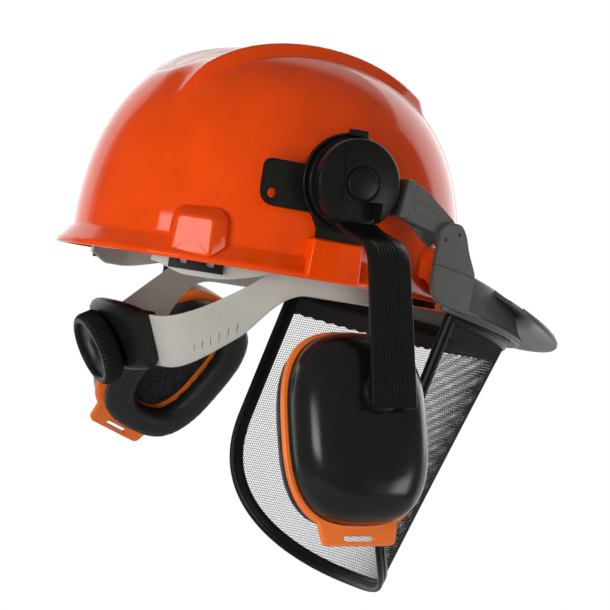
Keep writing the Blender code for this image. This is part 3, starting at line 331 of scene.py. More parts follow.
def tapered(middle, foot, low, top, high):
    """Corners of a block about a middle line: 2 foot wide at its low edge, 2 top wide at its high edge."""
    return [(middle - foot, low), (middle + foot, low), (middle + top, high), (middle - top, high)]


def drawn_in(outline, inset):
    """A closed outline moved inward along its own normals (the outline runs anticlockwise)."""
    tangent = np.roll(outline, -1, axis=0) - np.roll(outline, 1, axis=0)
    tangent /= np.maximum(np.linalg.norm(tangent, axis=1, keepdims=True), 1e-9)
    return outline + inset * np.column_stack((-tangent[:, 1], tangent[:, 0]))


def plate(outline, levels):
    """An outline carried up through (inset, height) levels, closed at both ends."""
    area = np.sum(outline[:, 0] * np.roll(outline[:, 1], -1) - np.roll(outline[:, 0], -1) * outline[:, 1])
    outline = outline if area > 0.0 else outline[::-1]
    rings = [np.column_stack((drawn_in(outline, inset), np.full(len(outline), height)))
             for inset, height in levels]
    return lofted(rings)


def edged(low, high, edge):
    """Levels of a plate from low to high whose two rims are rounded by an edge."""
    soft = edge * 0.3
    return [(edge * 1.25, low), (edge, low), (soft, low + soft), (0.0, low + edge), (0.0, high - edge),
            (soft, high - soft), (edge, high), (edge * 1.25, high)]


def sheet(grid, thick, rim=3):
    """A grid given a thickness along its normals, with a round rim along its two long edges."""
    normal = np.cross(np.gradient(grid, axis=0), np.gradient(grid, axis=1))
    normal /= np.linalg.norm(normal, axis=-1, keepdims=True)
    half = np.broadcast_to(np.asarray(thick, dtype=float), grid.shape[:2])[..., None] / 2.0
    along = np.gradient(grid, axis=1)
    along /= np.linalg.norm(along, axis=-1, keepdims=True)
    around = np.linspace(0.0, math.pi, rim + 2)[1:-1]
    first = [grid[:, :1] - half[:, :1] * (np.sin(a) * along[:, :1] - np.cos(a) * normal[:, :1])
             for a in around[::-1]]
    last = [grid[:, -1:] + half[:, -1:] * (np.sin(a) * along[:, -1:] + np.cos(a) * normal[:, -1:])
            for a in around]
    return lofted(np.concatenate([grid + half * normal, *last, (grid - half * normal)[:, ::-1], *first],
                                 axis=1))


def swept(path, section, normal, wrap=False):
    """A closed section (across, up) carried along a path; up is the given normal at each place."""
    tangent = np.gradient(path, axis=0)
    if wrap:
        tangent = np.roll(path, -1, axis=0) - np.roll(path, 1, axis=0)
    across = np.cross(tangent, normal)
    across /= np.linalg.norm(across, axis=1, keepdims=True)
    up = np.cross(across, tangent)
    up /= np.linalg.norm(up, axis=1, keepdims=True)
    rings = path[:, None] + section[None, :, :1] * across[:, None] + section[None, :, 1:] * up[:, None]
    return looped(rings) if wrap else lofted(rings)


def outward(shape, side):
    """A shape in (forward, up, out) stood on one side of the hat: x, side * out, z."""
    places, quads = shape
    return np.column_stack((places[:, 0], side * places[:, 2], places[:, 1])), quads


def moved(shape, offset):
    """A shape moved by an offset."""
    return shape[0] + np.asarray(offset), shape[1]


def posed(shape, matrix):
    """A shape carried by a 4 x 4 matrix."""
    turn = np.array(matrix)
    return shape[0] @ turn[:3, :3].T + turn[:3, 3], shape[1]


def superellipse(half_width, half_height, steps=96, power=2.9):
    """A rounded oblong: |x/a|^p + |y/b|^p = 1."""
    angle = np.linspace(0.0, TURN, steps, endpoint=False)
    c, s = np.cos(angle), np.sin(angle)
    return np.column_stack((half_width * np.sign(c) * np.abs(c) ** (2.0 / power),
                            half_height * np.sign(s) * np.abs(s) ** (2.0 / power)))


def meshed(name, shape):
    """A mesh from a shape, its doubles merged and its faces pointing outwards."""
    places, quads = shape
    mesh = bpy.data.meshes.new(name)
    mesh.from_pydata(places.tolist(), [], quads.tolist())
    solid = bmesh.new()
    solid.from_mesh(mesh)
    bmesh.ops.remove_doubles(solid, verts=solid.verts, dist=2e-6)
    bmesh.ops.recalc_face_normals(solid, faces=solid.faces)
    solid.to_mesh(mesh)
    solid.free()
    return mesh


def carve(piece, cuts, mixed):
    """Takes shapes out of a piece with exact Booleans; a mixed piece is several solids that overlap."""
    tools = []
    for cut in cuts:
        tool = bpy.data.objects.new("cut", meshed("cut", cut))
        bpy.context.scene.collection.objects.link(tool)
        taken = piece.modifiers.new("Cut", "BOOLEAN")
        taken.operation = "DIFFERENCE"
        taken.solver = "EXACT"
        taken.object = tool
        taken.use_self = mixed
        tools.append(tool)
    graph = bpy.context.evaluated_depsgraph_get()
    carved = bpy.data.meshes.new_from_object(piece.evaluated_get(graph))
    piece.modifiers.clear()
    piece.data = carved
    for tool in tools:
        bpy.data.objects.remove(tool)


def put(name, shape, finish, body, replaces=(), sharp=38.0, bevel=0.0, cuts=(), mixed=False):
    """Makes a shape an object that rides on a body and stands for the CAD nodes it replaces."""
    piece = bpy.data.objects.new(name, meshed(name, shape))
    bpy.context.scene.collection.objects.link(piece)
    if cuts:
        carve(piece, cuts, mixed)
    mesh = piece.data
    mesh.name = name
    mesh.shade_smooth()
    mesh.set_sharp_from_angle(angle=math.radians(sharp))
    mesh.materials.clear()
    mesh.materials.append(finish)
    if bevel:
        edge = piece.modifiers.new("Edge", "BEVEL")
        edge.width = bevel
        edge.segments = 2
        edge.limit_method = "ANGLE"
        edge.angle_limit = math.radians(sharp)
    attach(piece, body)
    if replaces:
        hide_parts(*replaces)
    return piece


# Finishes

def add_node(tree, kind, links=None, **settings):
    """Adds a shader node, sets its options or input values by name, and links its inputs."""
    made = tree.nodes.new(kind)
    for key, value in settings.items():
        if hasattr(made, key):
            setattr(made, key, value)
        else:
            made.inputs[key.replace("_", " ")].default_value = value
    for socket, source in (links or {}).items():
        tree.links.new(source, made.inputs[socket])
    return made


def effect(name, inputs, outputs):
    """An empty shader node group with named inputs (type, default) and float outputs."""
    group = bpy.data.node_groups.new(name, "ShaderNodeTree")
    for socket, (kind, default) in inputs.items():
        made = group.interface.new_socket(name=socket, in_out="INPUT", socket_type=kind)
        if default is not None:
            made.default_value = default
    for socket in outputs:
        group.interface.new_socket(name=socket, in_out="OUTPUT", socket_type="NodeSocketFloat")
    return group, group.nodes.new("NodeGroupInput").outputs, group.nodes.new("NodeGroupOutput").inputs


def noise(tree, vector, scale, detail=3.0, roughness=0.55):
    """A noise value over a vector; scale is a number or a socket."""
    made = add_node(tree, "ShaderNodeTexNoise", {"Vector": vector}, Detail=detail, Roughness=roughness)
    if isinstance(scale, (int, float)):
        made.inputs["Scale"].default_value = scale
    else:
        tree.links.new(scale, made.inputs["Scale"])
    return made.outputs["Fac"]


def ranged(tree, value, low, high, to_low=0.0, to_high=1.0):
    """A value spread from one range to another, held at the ends."""
    made = add_node(tree, "ShaderNodeMapRange", {"Value": value}, From_Min=low, From_Max=high,
                    To_Min=to_low, To_Max=to_high)
    return made.outputs["Result"]


def maths(tree, operation, first, second):
    """One arithmetic step on two sockets or numbers."""
    made = tree.nodes.new("ShaderNodeMath")
    made.operation = operation
    for socket, value in zip(made.inputs, (first, second)):
        if isinstance(value, (int, float)):
            socket.default_value = value
        else:
            tree.links.new(value, socket)
    return made.outputs[0]


def make_effects():
    """The shared effects: moulded grain, scuffs, settled dust, woven thread and open pores."""
    vector = ("NodeSocketVector", None)
    group, given, out = effect("Moulded grain", {"Vector": vector, "Scale": ("NodeSocketFloat", 900.0)},
                               ("Height", "Mottle"))
    fine = noise(group, given["Vector"], given["Scale"], 2.0, 0.6)
    broad = noise(group, given["Vector"], 26.0, 4.0, 0.6)
    group.links.new(fine, out["Height"])
    group.links.new(ranged(group, broad, 0.3, 0.7), out["Mottle"])

    group, given, out = effect("Scuffs", {"Vector": vector, "Scale": ("NodeSocketFloat", 60.0)}, ("Mask",))
    turned_once = add_node(group, "ShaderNodeMapping", {"Vector": given["Vector"]},
                           Rotation=(0.3, 0.5, 0.9), Scale=(1.0, 9.0, 1.0))
    streak = ranged(group, noise(group, turned_once.outputs[0], given["Scale"], 5.0, 0.7), 0.62, 0.76)
    patch = ranged(group, noise(group, given["Vector"], 18.0, 3.0), 0.48, 0.66)
    group.links.new(maths(group, "MULTIPLY", streak, patch), out["Mask"])

    group, given, out = effect("Settled dust", {"Vector": vector, "Scale": ("NodeSocketFloat", 40.0)},
                               ("Mask",))
    cloud = ranged(group, noise(group, given["Vector"], given["Scale"], 6.0, 0.65), 0.42, 0.75)
    specks = ranged(group, noise(group, given["Vector"], 1400.0, 1.0), 0.60, 0.72)
    group.links.new(maths(group, "MAXIMUM", maths(group, "MULTIPLY", cloud, 0.6),
                          maths(group, "MULTIPLY", specks, cloud)), out["Mask"])

    group, given, out = effect("Woven thread", {"Vector": vector, "Across": ("NodeSocketFloat", 20.0),
                                                "Along": ("NodeSocketFloat", 90.0)}, ("Height", "Shade"))
    parts = add_node(group, "ShaderNodeSeparateXYZ", {"Vector": given["Vector"]})
    u = maths(group, "MULTIPLY", maths(group, "MULTIPLY", parts.outputs["X"], given["Along"]), math.pi)
    v = maths(group, "MULTIPLY", maths(group, "MULTIPLY", parts.outputs["Y"], given["Across"]), math.pi)
    warp = maths(group, "ABSOLUTE", maths(group, "SINE", v, 0.0), 0.0)
    weft = maths(group, "ABSOLUTE", maths(group, "SINE", u, 0.0), 0.0)
    side = maths(group, "MULTIPLY", maths(group, "SINE", u, 0.0), maths(group, "SINE", v, 0.0))
    height = maths(group, "ADD", maths(group, "MULTIPLY", warp, weft), maths(group, "MULTIPLY", side, 0.35))
    group.links.new(height, out["Height"])
    # Shade is painted shade: 0 in the hollows between threads, 1 on their tops
    group.links.new(ranged(group, height, 0.0, 1.0), out["Shade"])

    group, given, out = effect("Open pores", {"Vector": vector, "Scale": ("NodeSocketFloat", 700.0)},
                               ("Height", "Mask"))
    cells = add_node(group, "ShaderNodeTexVoronoi", {"Vector": given["Vector"], "Scale": given["Scale"]})
    group.links.new(cells.outputs["Distance"], out["Height"])
    group.links.new(ranged(group, cells.outputs["Distance"], 0.15, 0.6), out["Mask"])


def blank(name):
    """A new material: its tree, its Principled shader and a vector of Object coordinates."""
    material = bpy.data.materials.new(name)
    material.use_nodes = True
    tree = material.node_tree
    places = tree.nodes.new("ShaderNodeTexCoord").outputs["Object"]
    return material, tree, tree.nodes["Principled BSDF"], places


def placed(tree, name, vector, **values):
    """Places a shared effect in a material, with its own values."""
    made = tree.nodes.new("ShaderNodeGroup")
    made.node_tree = bpy.data.node_groups[name]
    tree.links.new(vector, made.inputs["Vector"])
    for key, value in values.items():
        made.inputs[key].default_value = value
    return made.outputs


def blended(tree, mask, first, second):
    """A colour between two colours or sockets, by a mask."""
    made = tree.nodes.new("ShaderNodeMix")
    made.data_type = "RGBA"
    tree.links.new(mask, made.inputs["Factor"])
    for socket, value in zip((made.inputs[6], made.inputs[7]), (first, second)):
        if isinstance(value, bpy.types.NodeSocket):
            tree.links.new(value, socket)
        else:
            socket.default_value = (*value, 1.0)
    return made.outputs[2]


def bumped(tree, shader, height, depth):
    """A bump of a given depth in metres into the shader's normal."""
    made = add_node(tree, "ShaderNodeBump", {"Height": height}, Strength=1.0, Distance=depth)
    tree.links.new(made.outputs["Normal"], shader.inputs["Normal"])


def shaded(base, amount):
    """A colour made lighter or darker by a factor."""
    return tuple(min(part * amount, 1.0) for part in base)


def plastic(name, base, roughness, grain, depth, worn=1.5, coat=0.0, dust=0.0, spread=0.10, specular=0.5):
    """Moulded plastic: mottled colour, grain bump, roughness that scuffs raise, and a little dust."""
    material, tree, shader, vector = blank(name)
    grains = placed(tree, "Moulded grain", vector, Scale=grain)
    scuffs = placed(tree, "Scuffs", vector)
    tone = blended(tree, grains["Mottle"], shaded(base, 0.9), shaded(base, 1.06))
    tone = blended(tree, maths(tree, "MULTIPLY", scuffs["Mask"], 0.35), tone, shaded(base, worn))
    if dust:
        settled = placed(tree, "Settled dust", vector)
        tone = blended(tree, maths(tree, "MULTIPLY", settled["Mask"], dust), tone, (0.30, 0.28, 0.25))
    tree.links.new(tone, shader.inputs["Base Color"])
    rough = ranged(tree, grains["Mottle"], 0.0, 1.0, roughness - spread / 2.0, roughness + spread / 2.0)
    rough = maths(tree, "ADD", rough, maths(tree, "MULTIPLY", scuffs["Mask"], 0.12))
    tree.links.new(rough, shader.inputs["Roughness"])
    shader.inputs["Specular IOR Level"].default_value = specular
    if coat:
        shader.inputs["Coat Weight"].default_value = coat
        shader.inputs["Coat Roughness"].default_value = 0.04
    bumped(tree, shader, grains["Height"], depth)
    return material


def leather(name, base):
    """Cushion skin: soft vinyl with a fine crease pattern and a worn sheen."""
    material, tree, shader, vector = blank(name)
    creases = placed(tree, "Open pores", vector, Scale=520.0)
    grains = placed(tree, "Moulded grain", vector, Scale=240.0)
    tone = blended(tree, grains["Mottle"], shaded(base, 0.85), shaded(base, 1.5))
    tree.links.new(tone, shader.inputs["Base Color"])
    tree.links.new(ranged(tree, creases["Mask"], 0.0, 1.0, 0.58, 0.42), shader.inputs["Roughness"])
    height = maths(tree, "ADD", creases["Height"], maths(tree, "MULTIPLY", grains["Height"], 1.5))
    bumped(tree, shader, height, 0.00016)
    return material


def foam(name, base):
    """Open-celled foam: painted shade darkens the pores between paler struts."""
    material, tree, shader, vector = blank(name)
    pores = placed(tree, "Open pores", vector, Scale=620.0)
    # Painted shade: the pores are darkened to 0.3 of the base and the struts lightened to 1.6
    tree.links.new(blended(tree, pores["Mask"], shaded(base, 0.3), shaded(base, 1.6)),
                   shader.inputs["Base Color"])
    shader.inputs["Roughness"].default_value = 0.95
    bumped(tree, shader, pores["Height"], 0.0012)
    return material


def woven(name, base, across, along):
    """Woven tape: threads that follow the piece's own UV map, with painted shade between them."""
    material, tree, shader, vector = blank(name)
    follow = tree.nodes.new("ShaderNodeUVMap").outputs["UV"]
    threads = placed(tree, "Woven thread", follow, Across=across, Along=along)
    grains = placed(tree, "Moulded grain", vector, Scale=2200.0)
    # Painted shade: the tape is darker in the hollows between threads and lighter on their tops
    tone = blended(tree, threads["Shade"], shaded(base, 0.45), shaded(base, 1.2))
    tree.links.new(blended(tree, maths(tree, "MULTIPLY", grains["Height"], 0.4), tone, shaded(base, 1.7)),
                   shader.inputs["Base Color"])
    shader.inputs["Roughness"].default_value = 0.85
    shader.inputs["Sheen Weight"].default_value = 0.3
    bumped(tree, shader, threads["Height"], 0.0004)
    return material


def finishes():
    """Every finish of the hat, made once and kept by name."""
    if "Moulded grain" not in bpy.data.node_groups:
        make_effects()
    tones = hat().colours
    recipes = {
        "Shell orange": lambda n: plastic(n, tones.orange, 0.10, 420.0, 0.000004, worn=1.25, coat=0.10,
                                          spread=0.05, specular=0.26),
        "Ring orange": lambda n: plastic(n, tones.ring_orange, 0.42, 1100.0, 0.00002, worn=1.3),
        "Moulded black": lambda n: plastic(n, tones.black, 0.36, 1500.0, 0.00003, worn=3.0, dust=0.012,
                                           specular=0.22),
        "Cup black": lambda n: plastic(n, tones.black, 0.20, 1300.0, 0.000008, worn=3.0, dust=0.008,
                                       spread=0.06, specular=0.45),
        "Visor black": lambda n: plastic(n, tones.visor_black, 0.38, 1300.0, 0.00003, worn=2.2, dust=0.012),
        "Harness black": lambda n: plastic(n, tones.black, 0.40, 1200.0, 0.00003, worn=2.5, specular=0.3),
        "Band grey": lambda n: plastic(n, tones.strap_grey, 0.5, 1000.0, 0.00003, worn=0.8, dust=0.05),
        "Wire black": lambda n: plastic(n, tones.wire, 0.5, 3000.0, 0.00001, worn=2.0),
        "Pin steel": lambda n: plastic(n, (0.42, 0.42, 0.41), 0.35, 2000.0, 0.00001, worn=1.2),
        "Cushion vinyl": lambda n: leather(n, (0.0085, 0.0085, 0.0082)),
        "Sweatband vinyl": lambda n: leather(n, (0.010, 0.010, 0.010)),
        "Liner foam": lambda n: foam(n, (0.022, 0.022, 0.022)),
        "Crown webbing": lambda n: woven(n, tones.webbing, 14.0, 190.0),
    }
    for name, recipe in recipes.items():
        if name not in bpy.data.materials:
            recipe(name)
    return bpy.data.materials


# Shell

def plan(angle, half_length, half_width, peak=0.0):
    """Places on an ellipse in plan, longer at the front by a peak: x = (a + peak cos^2) cos, y = b sin."""
    ahead = np.clip(np.cos(angle), 0.0, None) ** 2
    return (half_length + peak * ahead) * np.cos(angle), half_width * np.sin(angle)


def dome_height(size, x, y):
    """Height of the dome over a place in plan: c (1 - r^n)^(1/n), with r the elliptical radius."""
    reach = np.minimum(np.hypot(x / size.half_length, y / size.half_width), 1.0)
    return size.height * (1.0 - reach ** size.fullness) ** (1.0 / size.fullness)


def ridged_height(size, x, y):
    """The dome with its crown ridge: level from crest to crest, a sloped foot outside, dished at the rear."""
    half = size.ridge_half_width
    across = np.abs(y)
    bare = dome_height(size, x, y)
    risen = smooth((x - size.ridge_rear) / (size.ridge_risen - size.ridge_rear))
    held = smooth((size.ridge_front + 0.0035 - x) / 0.0055)
    crest = dome_height(size, x, half) + size.ridge_step * risen
    dish = size.ridge_dish * smooth((0.012 - x) / 0.075) * risen
    middle = np.maximum(crest, dome_height(size, x, 0.0 * y)) - dish
    inward = np.clip(across / half, 0.0, 1.0)
    roof = middle + (crest - middle) * smooth((inward - 0.35) / 0.62) ** 1.2
    slope = crest - (crest - dome_height(size, x, half + size.ridge_foot)) \
        * np.clip((across - half) / size.ridge_foot, 0.0, 1.0) ** 0.92
    formed = np.where(across < half, roof, slope)
    formed = np.where(across < half + size.ridge_foot, np.maximum(formed, bare), bare)
    inside = across < half
    lift = np.where(inside, roof - bare, formed - bare)
    return bare + lift * held * np.where(inside, smooth((x - size.ridge_rear) / 0.014), 1.0)


def dome_rings(size, inset, count, steps, ridge):
    """Rings of the dome from the crown to the brim's root, in elliptical steps of reach."""
    power = 2.0 / size.fullness
    root = math.asin((size.brim_root / size.height) ** (1.0 / power))
    rise = np.linspace(math.radians(89.6), root, count)[:, None]
    angle = np.linspace(0.0, TURN, steps, endpoint=False)[None, :]
    reach = np.cos(rise) ** power
    x = (size.half_length - inset) * reach * np.cos(angle)
    y = (size.half_width - inset) * reach * np.sin(angle)
    z = (size.height - inset) * np.sin(rise) ** power + 0.0 * angle
    if ridge:
        z = np.where(z > 0.3 * size.height, ridged_height(size, x, y), z)
    return np.stack((x, y, z), axis=-1)


def brim_rings(size, steps):
    """The brim's section carried round: a crease, a 45 degree flange, a round lip, and its underside."""
    angle = np.linspace(0.0, TURN, steps, endpoint=False)
    lip = size.brim_lip
    top = size.brim_low + lip
    section = [(0.0006, size.brim_root - 0.0012), (size.brim_reach - 0.0016, top + 0.0014),
               (size.brim_reach - 0.0004, top + 0.0001), (size.brim_reach, top - 0.0008),
               (size.brim_reach, size.brim_low + 0.0010), (size.brim_reach - 0.0005, size.brim_low + 0.0002),
               (size.brim_reach - 0.0014, size.brim_low),
               (size.brim_reach - size.wall, size.brim_low + 0.0008),
               (-size.wall * 0.4, size.brim_root - size.wall * 1.1)]
    rings = []
    for out, height in section:
        share = max(out, 0.0) / size.brim_reach
        x, y = plan(angle, size.half_length + out, size.half_width + out, size.peak_reach * share)
        droop = size.peak_droop * share * np.clip(np.cos(angle), 0.0, None) ** 2
        rings.append(np.stack((x, y, height - droop), axis=-1))
    return np.array(rings)


def boss_shape(size, angle):
    """A corner boss: a rounded block on the dome's wall, its face drawn in by a broad bevel."""
    normal = np.array((1.39 * math.cos(angle) / size.half_length, math.sin(angle) / size.half_width, 0.0))
    normal /= np.linalg.norm(normal)
    along = np.array((-normal[1], normal[0], 0.0))
    place = np.array((size.half_length * math.cos(angle), size.half_width * math.sin(angle), 0.0))
    half = size.boss_half_width
    outline = rounded(tapered(0.0, half, 0.0, half * 0.92, size.boss_height), (0.0008, 0.0008, 0.003, 0.003))
    deep = size.boss_stand
    levels = [(-0.0066, -0.020), (-0.0066, deep - 0.0074), (-0.0060, deep - 0.0062), (-0.0010, deep - 0.0011),
              (-0.0003, deep - 0.0003), (0.0006, deep), (0.0014, deep)]
    places, quads = plate(outline, levels)
    local = np.column_stack((along, (0.0, 0.0, 1.0), normal))
    flange = size.brim_root - 0.0016 - 1.15 * np.clip(places[:, 2], 0.0, size.brim_reach)
    up = np.maximum(places[:, 1], flange)
    places = np.column_stack((places[:, 0], up, places[:, 2] - 0.03 * np.clip(up, 0.0, None)))
    return place + places @ local.T, quads


def socket_shape(size, muffs, side):
    """A side socket: a round-cornered box on the brim, open at the top for the bracket's tongue."""
    half = size.socket_half_width
    middle = size.socket_forward
    out = muffs.plate_out + muffs.plate_thick + 0.0043
    low = size.brim_low + size.brim_lip * 0.55
    front = rounded(tapered(middle, half + 0.0012, low, half, size.socket_height), 0.0018)
    wall = plate(front, [(-0.0012, muffs.plate_out + muffs.plate_thick + GAP), (-0.0004, out - 0.0012),
                         (0.0, out - 0.0004), (0.0006, out), (0.0012, out)])
    cheeks = []
    for place in (middle - half + 0.0016, middle + half - 0.0016):
        cheek = rounded(tapered(place, 0.0017, low, 0.0016, size.socket_height), 0.0005)
        cheeks.append(plate(cheek, [(0.0, size.half_width - 0.014), (0.0, out - 0.001)]))
    return outward(joined(wall, *cheeks), side)


class HARDHAT_OT_shell(bpy.types.Operator):
    """Builds the shell: ridged dome, brim, corner bosses and side sockets"""
    bl_idname = "hardhat.shell"
    bl_label = "Shell"

    def execute(self, context):
        size = hat().shell
        steps = 400
        outer = dome_rings(size, 0.0, 150, steps, True)
        brim = brim_rings(size, steps)
        inner = dome_rings(size, size.wall, 36, steps, False)[::-1]
        dome = lofted(np.concatenate((outer, brim, inner)))
        corners = (1.0, -1.0)
        bosses = [boss_shape(size, turn * size.boss_angle + back)
                  for turn in corners for back in (0.0, math.pi)]
        sockets = [socket_shape(size, hat().muffs, side) for side in SIDES.values()]
        orange = finishes()["Shell orange"]
        put("shell_dome", dome, orange, "helmet", ["shell"], sharp=34.0)
        put("shell_bosses", joined(*bosses), orange, "helmet", sharp=50.0)
        put("shell_sockets", joined(*sockets), orange, "helmet", bevel=0.0004)
        return {"FINISHED"}


# Ear muffs

def muff_places(side_name):
    """Matrices of a muff at rest: drum, flare axis, cup slide and cup."""
    size = hat().muffs
    side = SIDES[side_name]
    index = SIDE_ORDER.index(side_name)
    seat = Vector((size.drum_forward, side * (size.plate_out + size.plate_thick), size.drum_height))
    drum = Matrix.Translation(seat) @ Matrix.Rotation(-size.park_tilt[index], 4, "Y")
    flare = drum @ Matrix.Translation((0.0, side * size.flare_out, -size.flare_drop)) \
        @ Matrix.Rotation(side * size.flare[index], 4, "X")
    shoulder = Vector((size.arm_out, -size.arm_shoulder))
    end = Vector((size.arm_out - size.arm_toe, -size.arm_length))
    heading = (end - shoulder).normalized()
    inner = Vector((heading.y, -heading.x)) * (size.arm_thick / 2.0 + GAP)
    place = end - heading * size.pivot_inset + inner
    lean = math.atan2(-heading.x, -heading.y)
    slide = flare @ Matrix.Translation((0.0, side * place.x, place.y)) @ Matrix.Rotation(-side * lean, 4, "X")
    return drum, flare, slide, slide @ Matrix.Rotation(size.swivel[index], 4, "Y")


def standing(shape, side, matrix):
    """A shape in (forward, up, out) stood on one side and carried by a muff's matrix."""
    return posed(outward(shape, side), matrix)


def box(corner, opposite):
    """A plain block between two corners, for cuts."""
    (x0, y0, z0), (x1, y1, z1) = corner, opposite
    outline = np.array([(x0, y0), (x1, y0), (x1, y1), (x0, y1)])
    return plate(outline, [(0.0, z0), (0.0, z1)])


def flag_corner(size):
    """The rear lower corner of the flag plate as (ahead, up)."""
    return (size.drum_forward - size.flag_reach,
            size.drum_height - size.flag_drop - size.flag_height / 2.0)


def flag_hole(size):
    """The middle of the flag plate's hole as (ahead, up)."""
    rear, low = flag_corner(size)
    return rear + 0.0074, low + 0.0076


def bracket_shapes(size):
    """The fixed bracket: a stepped flange, the flag plate behind it and the tongue below, with its cuts."""
    x, z = size.drum_forward, size.drum_height
    back = size.plate_out
    front = back + size.plate_thick
    radius = size.flange_radius
    disc = moved(turned([(radius - 0.001, back), (radius, back + 0.0012), (radius, front + 0.0003),
                         (radius - 0.0005, front + 0.0009), (radius - 0.0013, front + 0.0009),
                         (radius - 0.0018, front + 0.0003), (radius - 0.0019, front - 0.0006)]), (x, z, 0.0))
    rear, low = flag_corner(size)
    high = low + size.flag_height
    corners = [(rear, low), (x, low), (x, high), (rear, high)]
    flag = plate(rounded(corners, (0.011, 0.002, 0.002, 0.006), 10),
                 edged(back + 0.0004, front - 0.0005, 0.001))
    tongue_half, neck_half, shoulder_half = 0.0118, 0.0157, 0.0262
    tongue = plate(rounded(tapered(x, tongue_half, 0.0046, tongue_half, z - radius * 0.6), 0.001),
                   edged(back + 0.001, front - 0.001, 0.0006))
    neck = plate(rounded([(x - neck_half, 0.0205), (x + neck_half, 0.0205), (x + neck_half, z - 0.0295),
                          (x + shoulder_half, z - 0.0125), (x - shoulder_half, z - 0.0125),
                          (x - neck_half, z - 0.0295)], 0.001),
                 edged(back + 0.0006, front - 0.0006, 0.0007))
    ear_end = x + radius + 0.012
    ear = plate(rounded([(x + 0.006, z - 0.014), (ear_end, z - 0.014), (ear_end, z - 0.001),
                         (x + 0.006, z - 0.001)], 0.001),
                edged(back + 0.0008, front - 0.0008, 0.0006))
    hole_radius = 0.003
    hole = moved(turned([(hole_radius, back - 0.01), (hole_radius, front + 0.01)], 40),
                 (*flag_hole(size), 0.0))
    return joined(disc, flag, tongue, neck, ear), [hole]


def bracket_details(size):
    """Small moulded marks of the bracket: two studs, a rim round the hole, a tab over the drum."""
    x, z = size.drum_forward, size.drum_height
    front = size.plate_out + size.plate_thick
    rear, low = flag_corner(size)
    stud = turned([(0.0011, front - 0.002), (0.0011, front - 0.0003), (0.0008, front)], 24)
    studs = [moved(stud, (rear + 0.0215, low + rise, 0.0)) for rise in (0.0085, 0.0165)]
    rim = 0.0042
    angle = np.linspace(0.0, TURN, 48, endpoint=False)
    ahead, up = flag_hole(size)
    path = np.column_stack((ahead + rim * np.cos(angle), up + rim * np.sin(angle),
                            np.full(48, front - 0.0006)))
    around = np.linspace(0.0, TURN, 8, endpoint=False)
    section = 0.0004 * np.column_stack((np.cos(around), np.sin(around)))
    collar = swept(path, section, np.array((0.0, 0.0, 1.0)), wrap=True)
    foot, top = z + size.drum_radius + GAP, z + size.flange_radius + 0.0022
    tab = plate(rounded(tapered(x, 0.0055, foot, 0.005, top), 0.0011),
                edged(front - 0.001, front + 0.006, 0.0006))
    return joined(collar, tab, *studs)


def drum_shapes(size):
    """The drum in steps of radius, a round-edged face with a ring groove, and its slot for the arm."""
    r, face, thick = size.drum_radius, size.drum_face, size.drum_thick
    profile = [(r - 0.0008, 0.0006), (r, 0.0014), (r, 0.0042), (r - 0.0005, 0.0048), (r - 0.0026, 0.0050),
               (r - 0.0027, 0.0082), (face - 0.0005, 0.0084), (face, 0.0090), (face, thick - 0.0034),
               (face - 0.0002, thick - 0.0027), (face - 0.0008, thick - 0.0020),
               (face - 0.0018, thick - 0.0015), (face * 0.85, thick - 0.0006),
               (face * 0.74, thick + 0.0003), (face * 0.6, thick + 0.0012), (0.0116, thick + 0.0018),
               (0.0110, thick + 0.0018), (0.0107, thick + 0.0008),
               (0.0100, thick + 0.0008)]
    half = size.arm_width / 2.0 + 0.0012
    slot_top = -size.flare_drop + 1.7 * size.arm_thick
    slot = plate(rounded(tapered(0.0, half, -r * 1.3, half, slot_top), 0.0015),
                 [(0.0, size.flare_out - 1.5 * size.arm_thick), (0.0, thick * 1.5)])
    seam = box((-0.0124, -size.flare_drop, thick - 0.0015), (-0.0120, r * 1.1, thick * 1.5))
    return turned(profile, 128), [slot, seam]


def button_shape(size):
    """The centre button: a low dome with a rounded shoulder."""
    r, h = size.button_radius, size.button_thick
    base = size.drum_thick + 0.0009
    profile = [(r - 0.0002, base), (r, base + 0.0010), (r - 0.0002, base + 0.0018),
               (r - 0.0007, base + 0.0024), (r * 0.84, base + h * 0.80),
               (r * 0.66, base + h * 0.90), (r * 0.45, base + h * 0.96),
               (r * 0.22, base + h * 0.99), (r * 0.06, base + h)]
    return turned(profile, 72)


def arm_line(size, count=40):
    """The arm's middle line as (out, up): a sagging root, a quadratic shoulder bend, a straight leg."""
    shoulder = np.array((size.arm_out, -size.arm_shoulder))
    end = np.array((size.arm_out - size.arm_toe, -size.arm_length))
    start, sag = np.array((-0.001, -0.0085)), np.array((0.004, -0.0145))
    first = shoulder + (sag - shoulder) * 0.45
    last = shoulder + (end - shoulder) * 0.14
    t = np.linspace(0.0, 1.0, 15)[:, None]
    root = (1 - t) ** 2 * start + 2 * t * (1 - t) * sag + t ** 2 * first
    bend = (1 - t) ** 2 * first + 2 * t * (1 - t) * shoulder + t ** 2 * last
    leg = last + (end - last) * np.linspace(0.0, 1.0, count)[1:, None]
    return np.concatenate((root[:-1], bend, leg))


